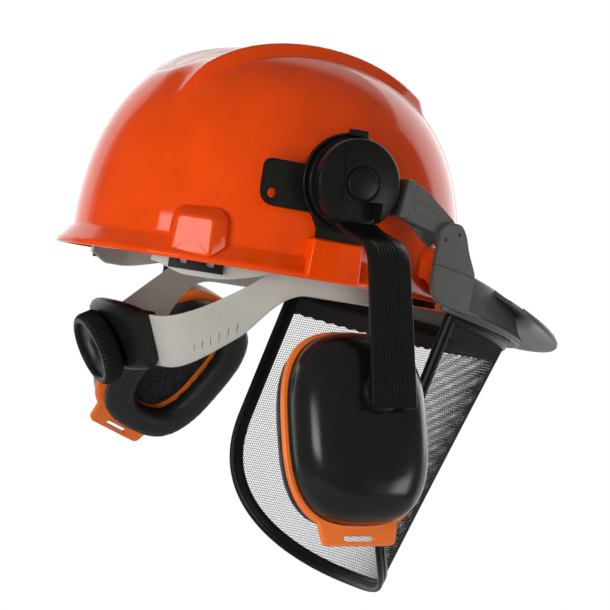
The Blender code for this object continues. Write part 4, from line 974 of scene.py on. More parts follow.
def arm_shape(size, ribs=6):
    """The arm: a flat strip with fine ribs down the middle of its outer face, wider toward its end."""
    line = arm_line(size)
    half, face = size.arm_width / 2.0, size.arm_thick / 2.0
    share = np.concatenate(([0.0, 0.02], np.linspace(0.24, 0.76, ribs * 8 + 1), [0.98, 1.0]))
    inside = np.clip((share - 0.26) / 0.48, 0.0, 1.0)
    groove = 0.5 - 0.5 * np.cos(inside * ribs * TURN)
    outer = np.where((share < 0.01) | (share > 0.99), face - 0.0005, face - 0.0006 * groove)
    section = np.concatenate(([(half, -face + 0.0004), (half - 0.0004, -face), (-half + 0.0004, -face),
                               (-half, -face + 0.0004)],
                              np.column_stack((-half + 2.0 * half * share, outer))))
    ahead = 0.0052 * smooth(-line[:, 1] / size.arm_shoulder)
    path = np.column_stack((ahead, line[:, 1], line[:, 0]))
    tangent = np.gradient(path, axis=0)
    away = np.column_stack((np.zeros(len(line)), -tangent[:, 2], tangent[:, 1]))
    away /= -np.linalg.norm(away, axis=1, keepdims=True)
    spread = (0.93 + 0.105 * line[:, 1] / line[-1, 1])[:, None, None]
    rings = path[:, None] + section[None, :, :1] * spread * np.array((1.0, 0.0, 0.0)) \
        + section[None, :, 1:] * away[:, None]
    return lofted(rings)


def cup_ring(size, inset, out):
    """The cup's outline drawn in by an inset, at a distance out along the pivot axis."""
    outline = superellipse(size.cup_half_width - inset, size.cup_half_height - inset)
    return np.column_stack((outline[:, 0] - size.cup_behind, outline[:, 1] - size.cup_below,
                            np.full(len(outline), out)))


def cup_shape(size):
    """The cup: a domed face rounded over into its cheeks, inset 0.6 (1 - sin a), depth 0.8 (1 - cos a)."""
    face = -(size.pivot_thick + GAP)
    rim = face - size.cup_depth
    turn = np.linspace(0.0, math.pi / 2.0, 22)
    outside = [cup_ring(size, size.cup_half_width * 0.60 * (1 - math.sin(a)) ** 1.05,
                        face - size.cup_depth * 0.80 * (1 - math.cos(a))) for a in turn]
    flat = [cup_ring(size, size.cup_half_width * draw, face + 0.0001) for draw in (0.9, 0.75)]
    lip = [cup_ring(size, 0.0, rim + 0.0022), cup_ring(size, -0.0003, rim + 0.0018),
           cup_ring(size, -0.0003, rim + 0.0004), cup_ring(size, 0.0002, rim)]
    wall = size.cup_wall
    inside = [cup_ring(size, wall, rim), cup_ring(size, wall, rim + size.cup_depth * 0.5),
              cup_ring(size, size.cup_half_width * 0.35, rim + size.cup_depth - wall)]
    return lofted(flat + outside + lip + inside)


def ring_levels(size):
    """Where the ring starts and ends along the pivot axis."""
    start = -(size.pivot_thick + size.cup_depth + 2.0 * GAP)
    return start, start - size.ring_thick


def ring_shape(size):
    """The orange ring with a rounded outer edge and its slotted pull tab, and the tab's slot as a cut."""
    start, end = ring_levels(size)
    lip = size.ring_lip
    rings = [cup_ring(size, 0.0, start), cup_ring(size, -lip * 0.7, start - 0.0003),
             cup_ring(size, -lip, start - 0.0012), cup_ring(size, -lip, end + 0.0012),
             cup_ring(size, -lip * 0.7, end + 0.0003), cup_ring(size, 0.0, end),
             cup_ring(size, size.ring_band, end), cup_ring(size, size.ring_band, start)]
    foot = -size.cup_below - size.cup_half_height
    middle = -size.cup_behind
    wide = size.pull_half_width
    tip = foot - size.pull_reach
    corners = [(middle - wide, foot + 0.008), (middle - wide * 0.86, tip), (middle + wide * 0.86, tip),
               (middle + wide, foot + 0.008)]
    tab = plate(rounded(corners, (0.001, 0.0038, 0.0038, 0.001)), edged(end + 0.0004, start - 0.0004, 0.0008))
    level = foot - size.pull_reach * 0.64
    slot_half, slot_rise = 0.010, 0.0017
    slot = plate(rounded(tapered(middle, slot_half, level - slot_rise, slot_half, level + slot_rise), 0.0014),
                 [(0.0, end - 0.01), (0.0, start + 0.01)])
    return joined(looped(rings), tab), [slot]


def cushion_shape(size):
    """The cushion's ring: a crowned section, drawn in where it meets the cup's ring."""
    base = ring_levels(size)[1] - GAP
    angle = np.linspace(math.radians(205.0), math.radians(-25.0), 18)
    inset = 0.5 + 0.5 * np.sign(np.cos(angle)) * np.abs(np.cos(angle)) ** 0.8
    deep = np.clip(0.42 + 0.58 * np.sign(np.sin(angle)) * np.abs(np.sin(angle)) ** 0.8, 0.0, 1.0)
    return looped([cup_ring(size, size.cushion_band * i, base - size.cushion_thick * d)
                   for i, d in zip(inset, deep)])


def liner_shape(size):
    """The foam liner: a soft slab whose face swells between shallow dimples."""
    end = ring_levels(size)[1]
    edge = size.ring_band + 0.0006
    shares = np.linspace(0.0, 1.0, 16)
    reach = size.cup_half_width - edge
    rings = []
    for share in shares[:-1]:
        ring = cup_ring(size, edge + reach * share, end + 0.0012)
        ring[:, 2] += 0.0007 * np.cos(ring[:, 0] * 420.0) * np.cos(ring[:, 1] * 420.0) * smooth(share * 6.0)
        rings.append(ring)
    back = [cup_ring(size, edge, end + size.foam_thick), cup_ring(size, edge, end + 0.0018)]
    return lofted([cup_ring(size, edge + reach * 0.9, end + size.foam_thick)] + back + rings)


def inflate(piece, voxel, cap, pressure=4.0):
    """Swells a soft piece: voxel remesh, cloth under pressure for some frames, movement capped, applied."""
    frames = 20
    start = piece.modifiers.new("Even", "REMESH")
    start.mode = "VOXEL"
    start.voxel_size = voxel
    graph = bpy.context.evaluated_depsgraph_get()
    piece.data = bpy.data.meshes.new_from_object(piece.evaluated_get(graph))
    piece.modifiers.clear()
    count = len(piece.data.vertices)
    before = np.zeros(count * 3)
    piece.data.vertices.foreach_get("co", before)
    cloth = piece.modifiers.new("Cloth", "CLOTH")
    cloth.settings.quality = 4
    cloth.settings.use_pressure = True
    cloth.settings.uniform_pressure_force = pressure
    cloth.settings.effector_weights.gravity = 0.0
    cloth.settings.tension_stiffness = 25.0
    cloth.point_cache.frame_start = 1
    cloth.point_cache.frame_end = frames
    for step in range(1, frames + 1):
        bpy.context.scene.frame_set(step)
    graph = bpy.context.evaluated_depsgraph_get()
    swollen = bpy.data.meshes.new_from_object(piece.evaluated_get(graph))
    after = np.zeros(count * 3)
    swollen.vertices.foreach_get("co", after)
    piece.modifiers.clear()
    bpy.context.scene.frame_set(1)
    shift = (after - before).reshape(-1, 3)
    far = np.linalg.norm(shift, axis=1, keepdims=True)
    shift *= np.minimum(1.0, cap / np.maximum(far, 1e-9))
    piece.data.vertices.foreach_set("co", (before.reshape(-1, 3) + shift).ravel())
    piece.data.update()


def soft(piece, voxel, cap, fill):
    """Finishes a padded piece: swollen by cloth pressure, then one subdivision."""
    finish = piece.data.materials[0]
    inflate(piece, voxel, cap)
    piece.data.materials.clear()
    piece.data.materials.append(finish)
    piece.data.shade_smooth()
    even = piece.modifiers.new("Soft", "SUBSURF")
    even.levels = even.render_levels = 1


class HARDHAT_OT_muffs(bpy.types.Operator):
    """Builds both ear muffs: bracket, drum, ribbed arm, cup, ring, cushion and foam"""
    bl_idname = "hardhat.muffs"
    bl_label = "Ear muffs"

    def execute(self, context):
        size = hat().muffs
        look = finishes()
        black = look["Moulded black"]
        for name, side in SIDES.items():
            drum, flare, slide, cup = muff_places(name)
            body, holes = bracket_shapes(size)
            put("muff_bracket_" + name, outward(body, side), black, "helmet", ["bracket_" + name],
                cuts=[outward(hole, side) for hole in holes], mixed=True)
            put("muff_bracket_marks_" + name, outward(bracket_details(size), side), black, "helmet")
            body, cuts = drum_shapes(size)
            put("muff_drum_" + name, standing(body, side, drum), black, "drum_" + name, ["drum_" + name],
                cuts=[standing(cut, side, drum) for cut in cuts])
            put("muff_button_" + name, standing(button_shape(size), side, drum), black, "drum_" + name,
                ["drum_button_" + name])
            put("muff_arm_" + name, standing(arm_shape(size), side, flare), black, "arm_" + name,
                ["arm_" + name], sharp=60.0)
            r, thick = size.pivot_radius, size.pivot_thick
            disc = turned([(r, -thick), (r, -0.0012), (r - 0.0006, -0.0004), (r - 0.0014, 0.0),
                           (r * 0.5, 0.0)], 72)
            put("muff_pivot_" + name, standing(disc, side, slide), black, "slider_" + name,
                ["cup_pivot_" + name])
            put("muff_cup_" + name, standing(cup_shape(size), side, cup), look["Cup black"], "cup_" + name,
                ["cup_shell_" + name])
            body, cuts = ring_shape(size)
            put("muff_ring_" + name, standing(body, side, cup), look["Ring orange"], "cup_" + name,
                ["cup_ring_" + name], cuts=[standing(cut, side, cup) for cut in cuts],
                mixed=True)
            cushion = put("muff_cushion_" + name, standing(cushion_shape(size), side, cup),
                          look["Cushion vinyl"],
                          "cup_" + name, ["cup_cushion_" + name])
            soft(cushion, 0.0032, 0.0006, 0.8)
            liner = put("muff_liner_" + name, standing(liner_shape(size), side, cup), look["Liner foam"],
                        "cup_" + name, ["cup_foam_" + name])
        return {"FINISHED"}


# Visor

def brow_depth(size):
    """Depth of the brow band's curve, from the front back to the side arms."""
    end = size.pivot_forward + size.brow_end
    return (size.brow_front - end) / (1.0 - math.cos(size.brow_span))


def brow_half_width(size):
    """Half width of the brow band's curve, so that its ends meet the side arms."""
    return (size.inner + size.arm_thick / 2.0) / math.sin(size.brow_span)


def brow_ahead(size, turn):
    """0 at the side arms, 1 at the middle of the brow."""
    return (np.cos(turn) - math.cos(size.brow_span)) / (1.0 - math.cos(size.brow_span))


def brow_low(size, turn):
    """Height of the brow band's lower edge."""
    return size.brow_low_side + (size.brow_low_front - size.brow_low_side) * brow_ahead(size, turn)


def brow_top(size, turn):
    """Height of the brow band's upper edge."""
    return size.brow_top_side + (size.brow_top_front - size.brow_top_side) * brow_ahead(size, turn)


def brow_places(size, turn, height, offset):
    """Places on the brow band pushed out by an offset: x = F - lean - D (1 - cos t), y = H sin t."""
    lean = size.brow_rake * (height - brow_low(size, turn)) * brow_ahead(size, turn)
    x = size.brow_front + offset - lean - brow_depth(size) * (1.0 - np.cos(turn))
    y = (brow_half_width(size) + offset) * np.sin(turn)
    return np.stack(np.broadcast_arrays(x, y, height), axis=-1)


def screen_top(size, turn):
    """Height of the screen's top edge, tucked behind the brow band."""
    return brow_low(size, turn) + size.screen_tuck


def screen_places(size, turn, height):
    """Places on the screen: x = F(z) - D(z) (1 - cos t), y = H sin t; F and D fall toward the chin."""
    inside = size.brow_thick / 2.0 + size.screen_clear
    below = height - screen_top(size, 0.0)
    front = size.brow_front - size.brow_rake * size.screen_tuck - inside + size.screen_tilt * below
    x = front - (brow_depth(size) + size.screen_taper * below) * (1.0 - np.cos(turn))
    y = (brow_half_width(size) - inside) * np.sin(turn)
    return np.stack(np.broadcast_arrays(x, y, height), axis=-1)


def screen_normals(size, turn, height):
    """Unit normals of the screen, pointing outward, from small steps along turn and height."""
    step = 1e-4
    around = screen_places(size, turn + step, height) - screen_places(size, turn - step, height)
    up = screen_places(size, turn, height + step) - screen_places(size, turn, height - step)
    normal = np.cross(around, up)
    return normal / np.linalg.norm(normal, axis=-1, keepdims=True)


def screen_edge(size, inset):
    """The closed edge of the screen drawn in by an inset, as (turn, height): top, side, chin and back."""
    span = size.screen_span - inset / brow_depth(size)
    bottom = size.screen_bottom + inset
    power = 2.0 / 2.3
    angle = np.linspace(0.0, math.radians(89.0), 60)
    chin = np.column_stack((span * np.cos(angle) ** power,
                            size.screen_shoulder + (bottom - size.screen_shoulder) * np.sin(angle) ** power))
    heights = np.linspace(screen_top(size, span) - inset, size.screen_shoulder, 40)[:-1]
    side = np.concatenate((np.column_stack((np.full(len(heights), span), heights)), chin))
    turns = np.linspace(-span, span, 120)[1:-1]
    top = np.column_stack((turns, screen_top(size, turns) - inset))
    return np.concatenate((top, side, side[::-1] * np.array((-1.0, 1.0))))


def brow_shape(size):
    """The brow band as a sheet of turn and height, run straight back along both side arms."""
    turn = np.linspace(-size.brow_span, size.brow_span, 90)
    turn = np.concatenate((turn[:1], turn, turn[-1:]))[:, None]
    share = np.linspace(0.0, 1.0, 12)[None, :]
    low, top = brow_low(size, turn), brow_top(size, turn)
    grid = brow_places(size, turn, low + (top - low) * share, 0.0)
    grid[[0, -1], :, 0] = size.pivot_forward + 0.001
    return sheet(grid, size.brow_thick)


def brow_bead(size):
    """A rounded bead along the brow band's lower edge, on its outer face."""
    turn = np.linspace(-size.brow_span, size.brow_span, 110)
    path = brow_places(size, turn, brow_low(size, turn) + 0.0018, size.brow_thick / 2.0)
    around = np.linspace(0.0, TURN, 10, endpoint=False)
    section = np.column_stack((0.0016 * np.cos(around), 0.0009 * np.sin(around)))
    outer = brow_places(size, turn, brow_low(size, turn) + 0.0018, 0.01) - path
    return swept(path, section, outer)


def side_arm(size):
    """A side arm: a round head that widens down to the brow band, a thicker foot, two holes, a bore."""
    out = size.inner + size.arm_thick
    corners = [(-0.0076, 0.0040), (-0.0028, 0.0080), (0.0058, 0.0080), (0.0101, 0.0024), (0.0136, -0.0081),
               (0.0200, -0.0208), (0.0190, -0.0458), (0.0010, -0.0424), (-0.0068, -0.0375),
               (-0.0090, -0.0313), (-0.0092, -0.0174), (-0.0088, -0.0074)]
    radii = (0.003, 0.003, 0.003, 0.004, 0.004, 0.002, 0.0018, 0.003, 0.0028, 0.0028, 0.003, 0.003)
    body = plate(rounded(corners, radii), edged(size.inner, out, 0.0008))
    foot = [(-0.0093, -0.0176), (0.0132, -0.0212), (0.0197, -0.0235), (0.0188, -0.0455), (0.0010, -0.0421),
            (-0.0068, -0.0372), (-0.0092, -0.0313)]
    step = plate(rounded(foot, (0.0016, 0.0016, 0.0016, 0.0016, 0.003, 0.003, 0.003)),
                 edged(out - 0.002, out + 0.0009, 0.0006))
    holes = [moved(turned([(0.0011, out - 0.0012), (0.0011, out + 0.004)], 24), (ahead, up, 0.0))
             for ahead, up in ((-0.0039, -0.0027), (0.0049, 0.0016))]
    bore_radius = 0.0030 + GAP
    bore = turned([(bore_radius, size.inner - 0.002), (bore_radius, out - size.arm_thick / 2.0 + GAP)], 48)
    return body, step, holes + [bore]


def bill_places(size, turn, part, lift):
    """Places on the bill: out along the brow's plan and down, scaled by a taper toward its two ends."""
    taper = np.cos(turn / size.bill_span * math.radians(84.0)) ** 0.6
    root = size.brow_thick / 2.0 - 0.0006
    level = brow_top(size, turn) - size.bill_drop * brow_ahead(size, turn)
    grid = brow_places(size, turn, level, root + size.bill_reach * part * taper)
    grid[..., 2] += lift - size.bill_fall * part * taper * (1.3 - 0.3 * part)
    return grid


def bill_shape(size):
    """The bill as a sheet with a raised panel near its root and a rim along its front edge."""
    turn = np.linspace(-size.bill_span, size.bill_span, 90)[:, None]
    body = sheet(bill_places(size, turn, np.linspace(0.0, 1.0, 16)[None, :], 0.0), size.bill_thick)
    inner = np.linspace(-0.62, 0.62, 60)[:, None] * size.bill_span
    panel = sheet(bill_places(size, inner, np.linspace(0.10, 0.50, 10)[None, :], size.bill_thick * 0.7),
                  0.0016)
    line = np.linspace(-0.93, 0.93, 120) * size.bill_span
    path = bill_places(size, line, 0.985, size.bill_thick * 0.35)
    around = np.linspace(0.0, TURN, 10, endpoint=False)
    section = 0.0011 * np.column_stack((np.cos(around), np.sin(around)))
    rim = swept(path, section, np.array((0.0, 0.0, 1.0)))
    return joined(body, panel, rim)


def link_shapes(size, muffs):
    """A visor link: a wedge from the drum to the pivot, a raised panel, a web below and a coupling."""
    inner = muffs.plate_out + muffs.plate_thick + GAP
    outer = size.inner - 2.0 * GAP
    ahead, up = size.pivot_forward, size.pivot_height
    rear = muffs.drum_forward + muffs.flange_radius + GAP
    corners = [(rear + 0.0054, up + 0.0051), (rear + 0.0295, up - 0.0006), (ahead - 0.0045, up - 0.0062),
               (ahead + 0.002, up - 0.0075), (ahead + 0.007, up - 0.003), (ahead + 0.007, up + 0.004),
               (ahead + 0.002, up + 0.0098), (rear + 0.0142, up + 0.0263), (rear + 0.0082, up + 0.0274)]
    outline = rounded(corners, (0.002, 0.002, 0.002, 0.003, 0.003, 0.003, 0.003, 0.003, 0.003))
    body = plate(outline, edged(inner, outer, 0.0009))
    root = np.array((rear, up))
    inside = root + [(0.0100, 0.0098), (0.0235, 0.0072), (0.0265, 0.0112), (0.0098, 0.0188)]
    panel = plate(rounded(inside, 0.0016), edged(outer - 0.001, outer + 0.0005, 0.0004))
    below = root + [(0.0085, 0.0050), (0.0272, -0.0086), (0.0310, -0.0040), (0.0290, 0.0020)]
    web = plate(rounded(below, 0.001), edged(inner + 0.002, inner + 0.0048, 0.0005))
    behind = root + [(0.0002, 0.0060), (0.0058, 0.0058), (0.0092, 0.0286), (0.0030, 0.0296)]
    coupling = plate(rounded(behind, 0.0016), edged(muffs.plate_out + 0.001, outer + 0.0006, 0.0008))
    return joined(body, panel, web, coupling)


def edging_shape(size):
    """The moulded edging: a section with rounded rims and a middle groove, swept round the screen."""
    edge = screen_edge(size, size.edging_width / 2.0)
    path = screen_places(size, edge[:, 0], edge[:, 1])
    normal = screen_normals(size, edge[:, 0], edge[:, 1])
    w, h = size.edging_width / 2.0, size.edging_thick / 2.0
    upper = [(-w, 0.0), (-w + 0.0005, h * 0.7), (-w + 0.0012, h), (-0.0011, h), (-0.0006, h - 0.0008),
             (0.0006, h - 0.0008), (0.0011, h), (w - 0.0012, h), (w - 0.0005, h * 0.7), (w, 0.0)]
    lower = [(across, -up) for across, up in upper[::-1] if up]
    return swept(path, np.array(upper + lower), normal, wrap=True)


def wire_mask(size, turn, height):
    """True where a place lies inside the screen's edge, tucked under the edging."""
    inset = size.edging_width * 0.55
    span = size.screen_span - inset / brow_depth(size)
    chin = np.clip((size.screen_shoulder - height) / (size.screen_shoulder - size.screen_bottom - inset),
                   0.0, None)
    inside = (np.abs(turn) / span) ** 2.3 + chin ** 2.3 <= 1.0
    return inside & (height <= screen_top(size, turn) - inset)


def wires(size, along_height):
    """One set of the mesh's wires: three-sided tubes that pass over and under at each crossing."""
    turn = np.arange(-size.screen_span, size.screen_span, size.wire_pitch / 0.158)
    height = np.arange(size.screen_bottom, size.brow_low_side + size.screen_tuck, size.wire_pitch)
    turn, height = np.meshgrid(turn, height, indexing="ij")
    inside = wire_mask(size, turn, height)
    normal = screen_normals(size, turn, height)
    i, j = np.indices(turn.shape)
    sign = np.where((i + j) % 2 == 0, 1.0, -1.0) * (1.0 if along_height else -1.0)
    places = screen_places(size, turn, height) + normal * (sign * size.wire_radius * 0.9)[..., None]
    axis = 1 if along_height else 0
    tangent = np.gradient(places, axis=axis)
    across = np.cross(tangent, normal)
    across /= np.linalg.norm(across, axis=-1, keepdims=True)
    angle = np.array((0.5, 7.0 / 6.0, 11.0 / 6.0)) * math.pi
    rings = places[..., None, :] + size.wire_radius * (
        np.cos(angle)[:, None] * across[..., None, :] + np.sin(angle)[:, None] * normal[..., None, :])
    index = np.arange(rings[..., 0].size).reshape(rings.shape[:3])
    near, far = (index[:, :-1], index[:, 1:]) if along_height else (index[:-1], index[1:])
    kept = (inside[:, :-1] & inside[:, 1:]) if along_height else (inside[:-1] & inside[1:])
    quads = np.stack((near, far, np.roll(far, -1, axis=-1), np.roll(near, -1, axis=-1)), axis=-1)[kept]
    quads = quads.reshape(-1, 4)
    used, renamed = np.unique(quads, return_inverse=True)
    return rings.reshape(-1, 3)[used], renamed.reshape(-1, 4)


def header_shape(size):
    """The solid strip along the screen's top, just inside the wires, with a toothed lower edge."""
    span = size.screen_span - size.edging_width / brow_depth(size)
    turn = np.linspace(-span, span, 321)[:, None]
    share = np.linspace(0.0, 1.0, 6)[None, :]
    teeth = 0.0011 * np.abs(np.mod(np.arange(321)[:, None] / 4.0, 2.0) - 1.0)
    depth = 0.009 + 0.003 * np.abs(turn) / span + teeth
    height = screen_top(size, turn) - size.edging_width * 0.6 - depth * share
    grid = screen_places(size, turn, height) - screen_normals(size, turn, height) * 0.0011
    return sheet(grid, 0.0008, rim=1)


class HARDHAT_OT_visor(bpy.types.Operator):
    """Builds the visor: links, side arms and brow band, bill, edging and woven wire screen"""
    bl_idname = "hardhat.visor"
    bl_label = "Visor"

    def execute(self, context):
        size = hat().visor
        look = finishes()
        black = look["Visor black"]
        arm, foot, holes = side_arm(size)
        pivot = (size.pivot_forward, 0.0, size.pivot_height)
        arms = joined(*[moved(outward(arm, side), pivot) for side in SIDES.values()])
        feet = joined(*[moved(outward(foot, side), pivot) for side in SIDES.values()])
        cuts = [moved(outward(hole, side), pivot) for side in SIDES.values() for hole in holes]
        put("visor_brow", joined(brow_shape(size), brow_bead(size)), black, "visor", ["visor_frame"])
        put("visor_arms", arms, black, "visor", cuts=cuts)
        put("visor_feet", feet, black, "visor")
        put("visor_brim", bill_shape(size), black, "visor", ["visor_bill"])
        put("visor_edging", edging_shape(size), look["Moulded black"], "visor", ["screen_edging"])
        put("visor_header", header_shape(size), look["Wire black"], "visor")
        wire = look["Wire black"]
        put("visor_warp", wires(size, True), wire, "visor", ["visor_screen"], sharp=180.0)
        put("visor_weft", wires(size, False), wire, "visor", sharp=180.0)
        for name, side in SIDES.items():
            body = outward(link_shapes(size, hat().muffs), side)
            put("visor_mount_" + name, body, black, "helmet", ["visor_link_" + name])
            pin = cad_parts["visor_pin_" + name]
            pin.data.materials.clear()
            pin.data.materials.append(look["Pin steel"])
        return {"FINISHED"}


# Harness

def band_places(size, angle, height, half_length, half_width, lean=0.0, middle=0.0, ahead=None):
    """Places on an elliptical band round the head; a lean draws lower places in toward the neck."""
    ahead = size.band_forward if ahead is None else ahead
    inward = (middle - height) * np.tan(lean)
    return np.stack(np.broadcast_arrays(ahead + (half_length - inward) * np.cos(angle),
                                        (half_width - inward) * np.sin(angle), height), axis=-1)


def tail_share(size, angle):
    """0 round the forehead, 1 where the nape strap has dropped."""
    return smooth((np.abs(angle) - size.tail_start) / (size.tail_settled - size.tail_start))


def tail_middle(size, angle):
    """Height of the middle of the nape strap."""
    return (size.band_low + size.band_high) / 2.0 - size.tail_drop * tail_share(size, angle)


def clip_radii(size, shell):
    """Half length and half width of the ring that the suspension clips stand on."""
    inside = shell.wall + 0.0012 + size.clip_thick / 2.0
    return shell.half_length - inside, shell.half_width - inside


def headband_shape(size, shell):
    """The headband: one sheet for the forehead and nape straps, one for the upper band and its rear tabs."""
    fork = size.tail_fork
    end = math.pi - math.asin(0.0057 / size.band_half_width)
    share = np.concatenate((-np.linspace(1.0, 0.0, 60)[:-1], np.zeros(80), np.linspace(0.0, 1.0, 60)[1:]))
    front = np.concatenate((np.full(59, -fork), np.linspace(-fork, fork, 80), np.full(59, fork)))
    blend = smooth(np.abs(share) / 0.62)[:, None]
    dropped = smooth(np.abs(share) / 0.33)[:, None]
    lower = (front + share * (end - fork))[:, None]
    split = size.band_low + (size.band_high - size.band_low) * 0.6
    rows = np.linspace(0.0, 1.0, 12)[None, :]
    middle = tail_middle(size, lower)
    level = size.band_low + (split - size.band_low) * rows
    strap = middle + size.tail_height * (rows - 0.5)
    height = level + (strap - level) * dropped
    lean = size.tail_lean * tail_share(size, lower) * dropped
    low_grid = band_places(size, lower, height, size.band_half_length, size.band_half_width, lean, middle)
    upper = (front + share * (size.rear_tab_end - fork))[:, None]
    level = split - 0.0004 + (size.band_high - split + 0.0004) * rows
    tab_low = size.rear_tab_low + 0.0055 * smooth((np.abs(share) - 0.76) / 0.24)[:, None]
    tab = tab_low + (size.rear_tab_high - tab_low) * rows
    height = level + (tab - level) * blend
    long, wide = clip_radii(size, shell)
    inset = size.clip_thick / 2.0 + GAP + size.band_thick / 2.0
    half_length = size.band_half_length + (long - inset - size.band_half_length) * blend
    half_width = size.band_half_width + (wide - inset - size.band_half_width) * blend
    high_grid = band_places(size, upper, height, half_length, half_width,
                            ahead=size.band_forward * (1.0 - blend))
    return joined(sheet(low_grid, size.band_thick), sheet(high_grid, size.band_thick))


def strap_slits(size):
    """Fine adjustment slits through both nape straps, as cuts."""
    cuts = []
    for turn in np.radians(np.arange(121.0, 139.0, 3.4)):
        for side in SIDES.values():
            angle = side * turn
            middle = float(tail_middle(size, angle))
            lean = float(size.tail_lean * tail_share(size, angle))
            place = band_places(size, angle, middle, size.band_half_length, size.band_half_width, lean,
                                middle)
            slit = box((-0.0002, -0.0115, -0.004), (0.0002, -0.0055, 0.004))
            away = Vector((math.cos(angle) / size.band_half_length, math.sin(angle) / size.band_half_width,
                           0.0))
            stand = Matrix.Translation(place.tolist()) @ away.to_track_quat("Z", "Y").to_matrix().to_4x4()
            cuts.append(posed(slit, stand))
    return cuts


def sweatband_shape(size):
    """The sweatband: a crowned strip behind the forehead, its section a flattened oval."""
    inner = size.band_thick / 2.0 + 0.0012
    low, high = size.band_low + 0.002, size.band_high - 0.002
    around = np.linspace(0.0, TURN, 20, endpoint=False)
    inset = inner + size.sweatband_thick * (0.5 - 0.5 * np.cos(around))
    height = (low + high) / 2.0 + (high - low) / 2.0 * np.sign(np.sin(around)) * np.abs(np.sin(around)) ** 0.6
    angle = np.linspace(-size.sweatband_half_angle, size.sweatband_half_angle, 90)[:, None]
    return lofted(band_places(size, angle, height[None, :], size.band_half_length - inset[None, :],
                              size.band_half_width - inset[None, :]))


def strap_places(size, shell, index):
    """A crown strap's grid: half an ellipse from clip to clip, as wide as the tape."""
    long, wide = clip_radii(size, shell)
    start = Vector((long * math.cos(shell.boss_angle), wide * math.sin(shell.boss_angle)))
    heading = Vector((start.x, start.y * (1.0, -1.0)[index])).normalized()
    reach = start.length - size.strap_thick
    base = size.clip_high + 4.0 * GAP
    rise = shell.height - shell.wall - size.strap_headroom - base - index * (size.strap_thick + 0.0012)
    angle = np.linspace(0.0, math.pi, 90)[:, None]
    across = np.linspace(-0.5, 0.5, 5)[None, :] * size.strap_width
    along = reach * np.cos(angle)
    crown = 0.0006 * (1.0 - (2.0 * across / size.strap_width) ** 2)
    grid = np.stack(np.broadcast_arrays(along * heading.x - across * heading.y,
                                        along * heading.y + across * heading.x,
                                        base + rise * np.sin(angle) + crown * np.sin(angle)), axis=-1)
    return grid, heading


def strap_map(piece, heading, width, reach):
    """Gives a crown strap a UV map: along the tape by its heading, across it from edge to edge."""
    mesh = piece.data
    places = np.zeros(len(mesh.vertices) * 3)
    mesh.vertices.foreach_get("co", places)
    places = places.reshape(-1, 3)
    along = places[:, 0] * heading.x + places[:, 1] * heading.y
    across = places[:, 1] * heading.x - places[:, 0] * heading.y
    tape = np.column_stack((np.arccos(np.clip(along / reach, -1.0, 1.0)) / math.pi, across / width + 0.5))
    corner = np.zeros(len(mesh.loops), dtype=np.int32)
    mesh.loops.foreach_get("vertex_index", corner)
    mesh.uv_layers.new(name="Tape").data.foreach_set("uv", tape[corner].ravel())


def ratchet_patch(size, offset, half_width, height, draw=0.0):
    """A patch of the nape strap's surface, pushed out by an offset, for the ratchet's cover."""
    middle = tail_middle(size, math.pi)
    angle = np.linspace(-1.0, 1.0, 31)[:, None]
    span = math.asin(half_width / size.band_half_width)
    level = np.linspace(-0.5, 0.5, 15)[None, :] * height * (1.0 - draw * np.abs(angle) ** 3)
    return band_places(size, math.pi + span * angle, middle + level, size.band_half_length + offset,
                       size.band_half_width + offset, size.tail_lean, middle)


def knob_shape(size, seat):
    """The knob: a turned profile whose rim carries grip ribs, r - d (0.5 + 0.5 cos(n a)), and a sunk face."""
    r, top = size.knob_radius, seat + size.knob_thick
    profile = np.array([(r - 0.0022, seat, 0.6), (r - 0.0004, seat + 0.0012, 1.0), (r, seat + 0.0026, 1.0),
                        (r, top - 0.0030, 1.0), (r - 0.0006, top - 0.0014, 1.0),
                        (r - 0.0018, top - 0.0003, 0.4),
                        (r - 0.0030, top, 0.0), (r * 0.80, top, 0.0), (r * 0.775, top - 0.0006, 0.0),
                        (r * 0.76, top - 0.0026, 0.0), (r * 0.73, top - 0.0030, 0.0),
                        (r * 0.30, top - 0.0026, 0.0),
                        (r * 0.27, top - 0.0018, 0.0), (r * 0.12, top - 0.0016, 0.0)])
    angle = np.linspace(0.0, TURN, size.knob_ribs * 8, endpoint=False)[None, :]
    ribs = 0.0011 * (0.5 + 0.5 * np.cos(angle * size.knob_ribs)) ** 0.7
    radius = profile[:, :1] - ribs * profile[:, 2:]
    return lofted(np.stack(np.broadcast_arrays(radius * np.cos(angle), radius * np.sin(angle),
                                               profile[:, 1:2]),
                           axis=-1))


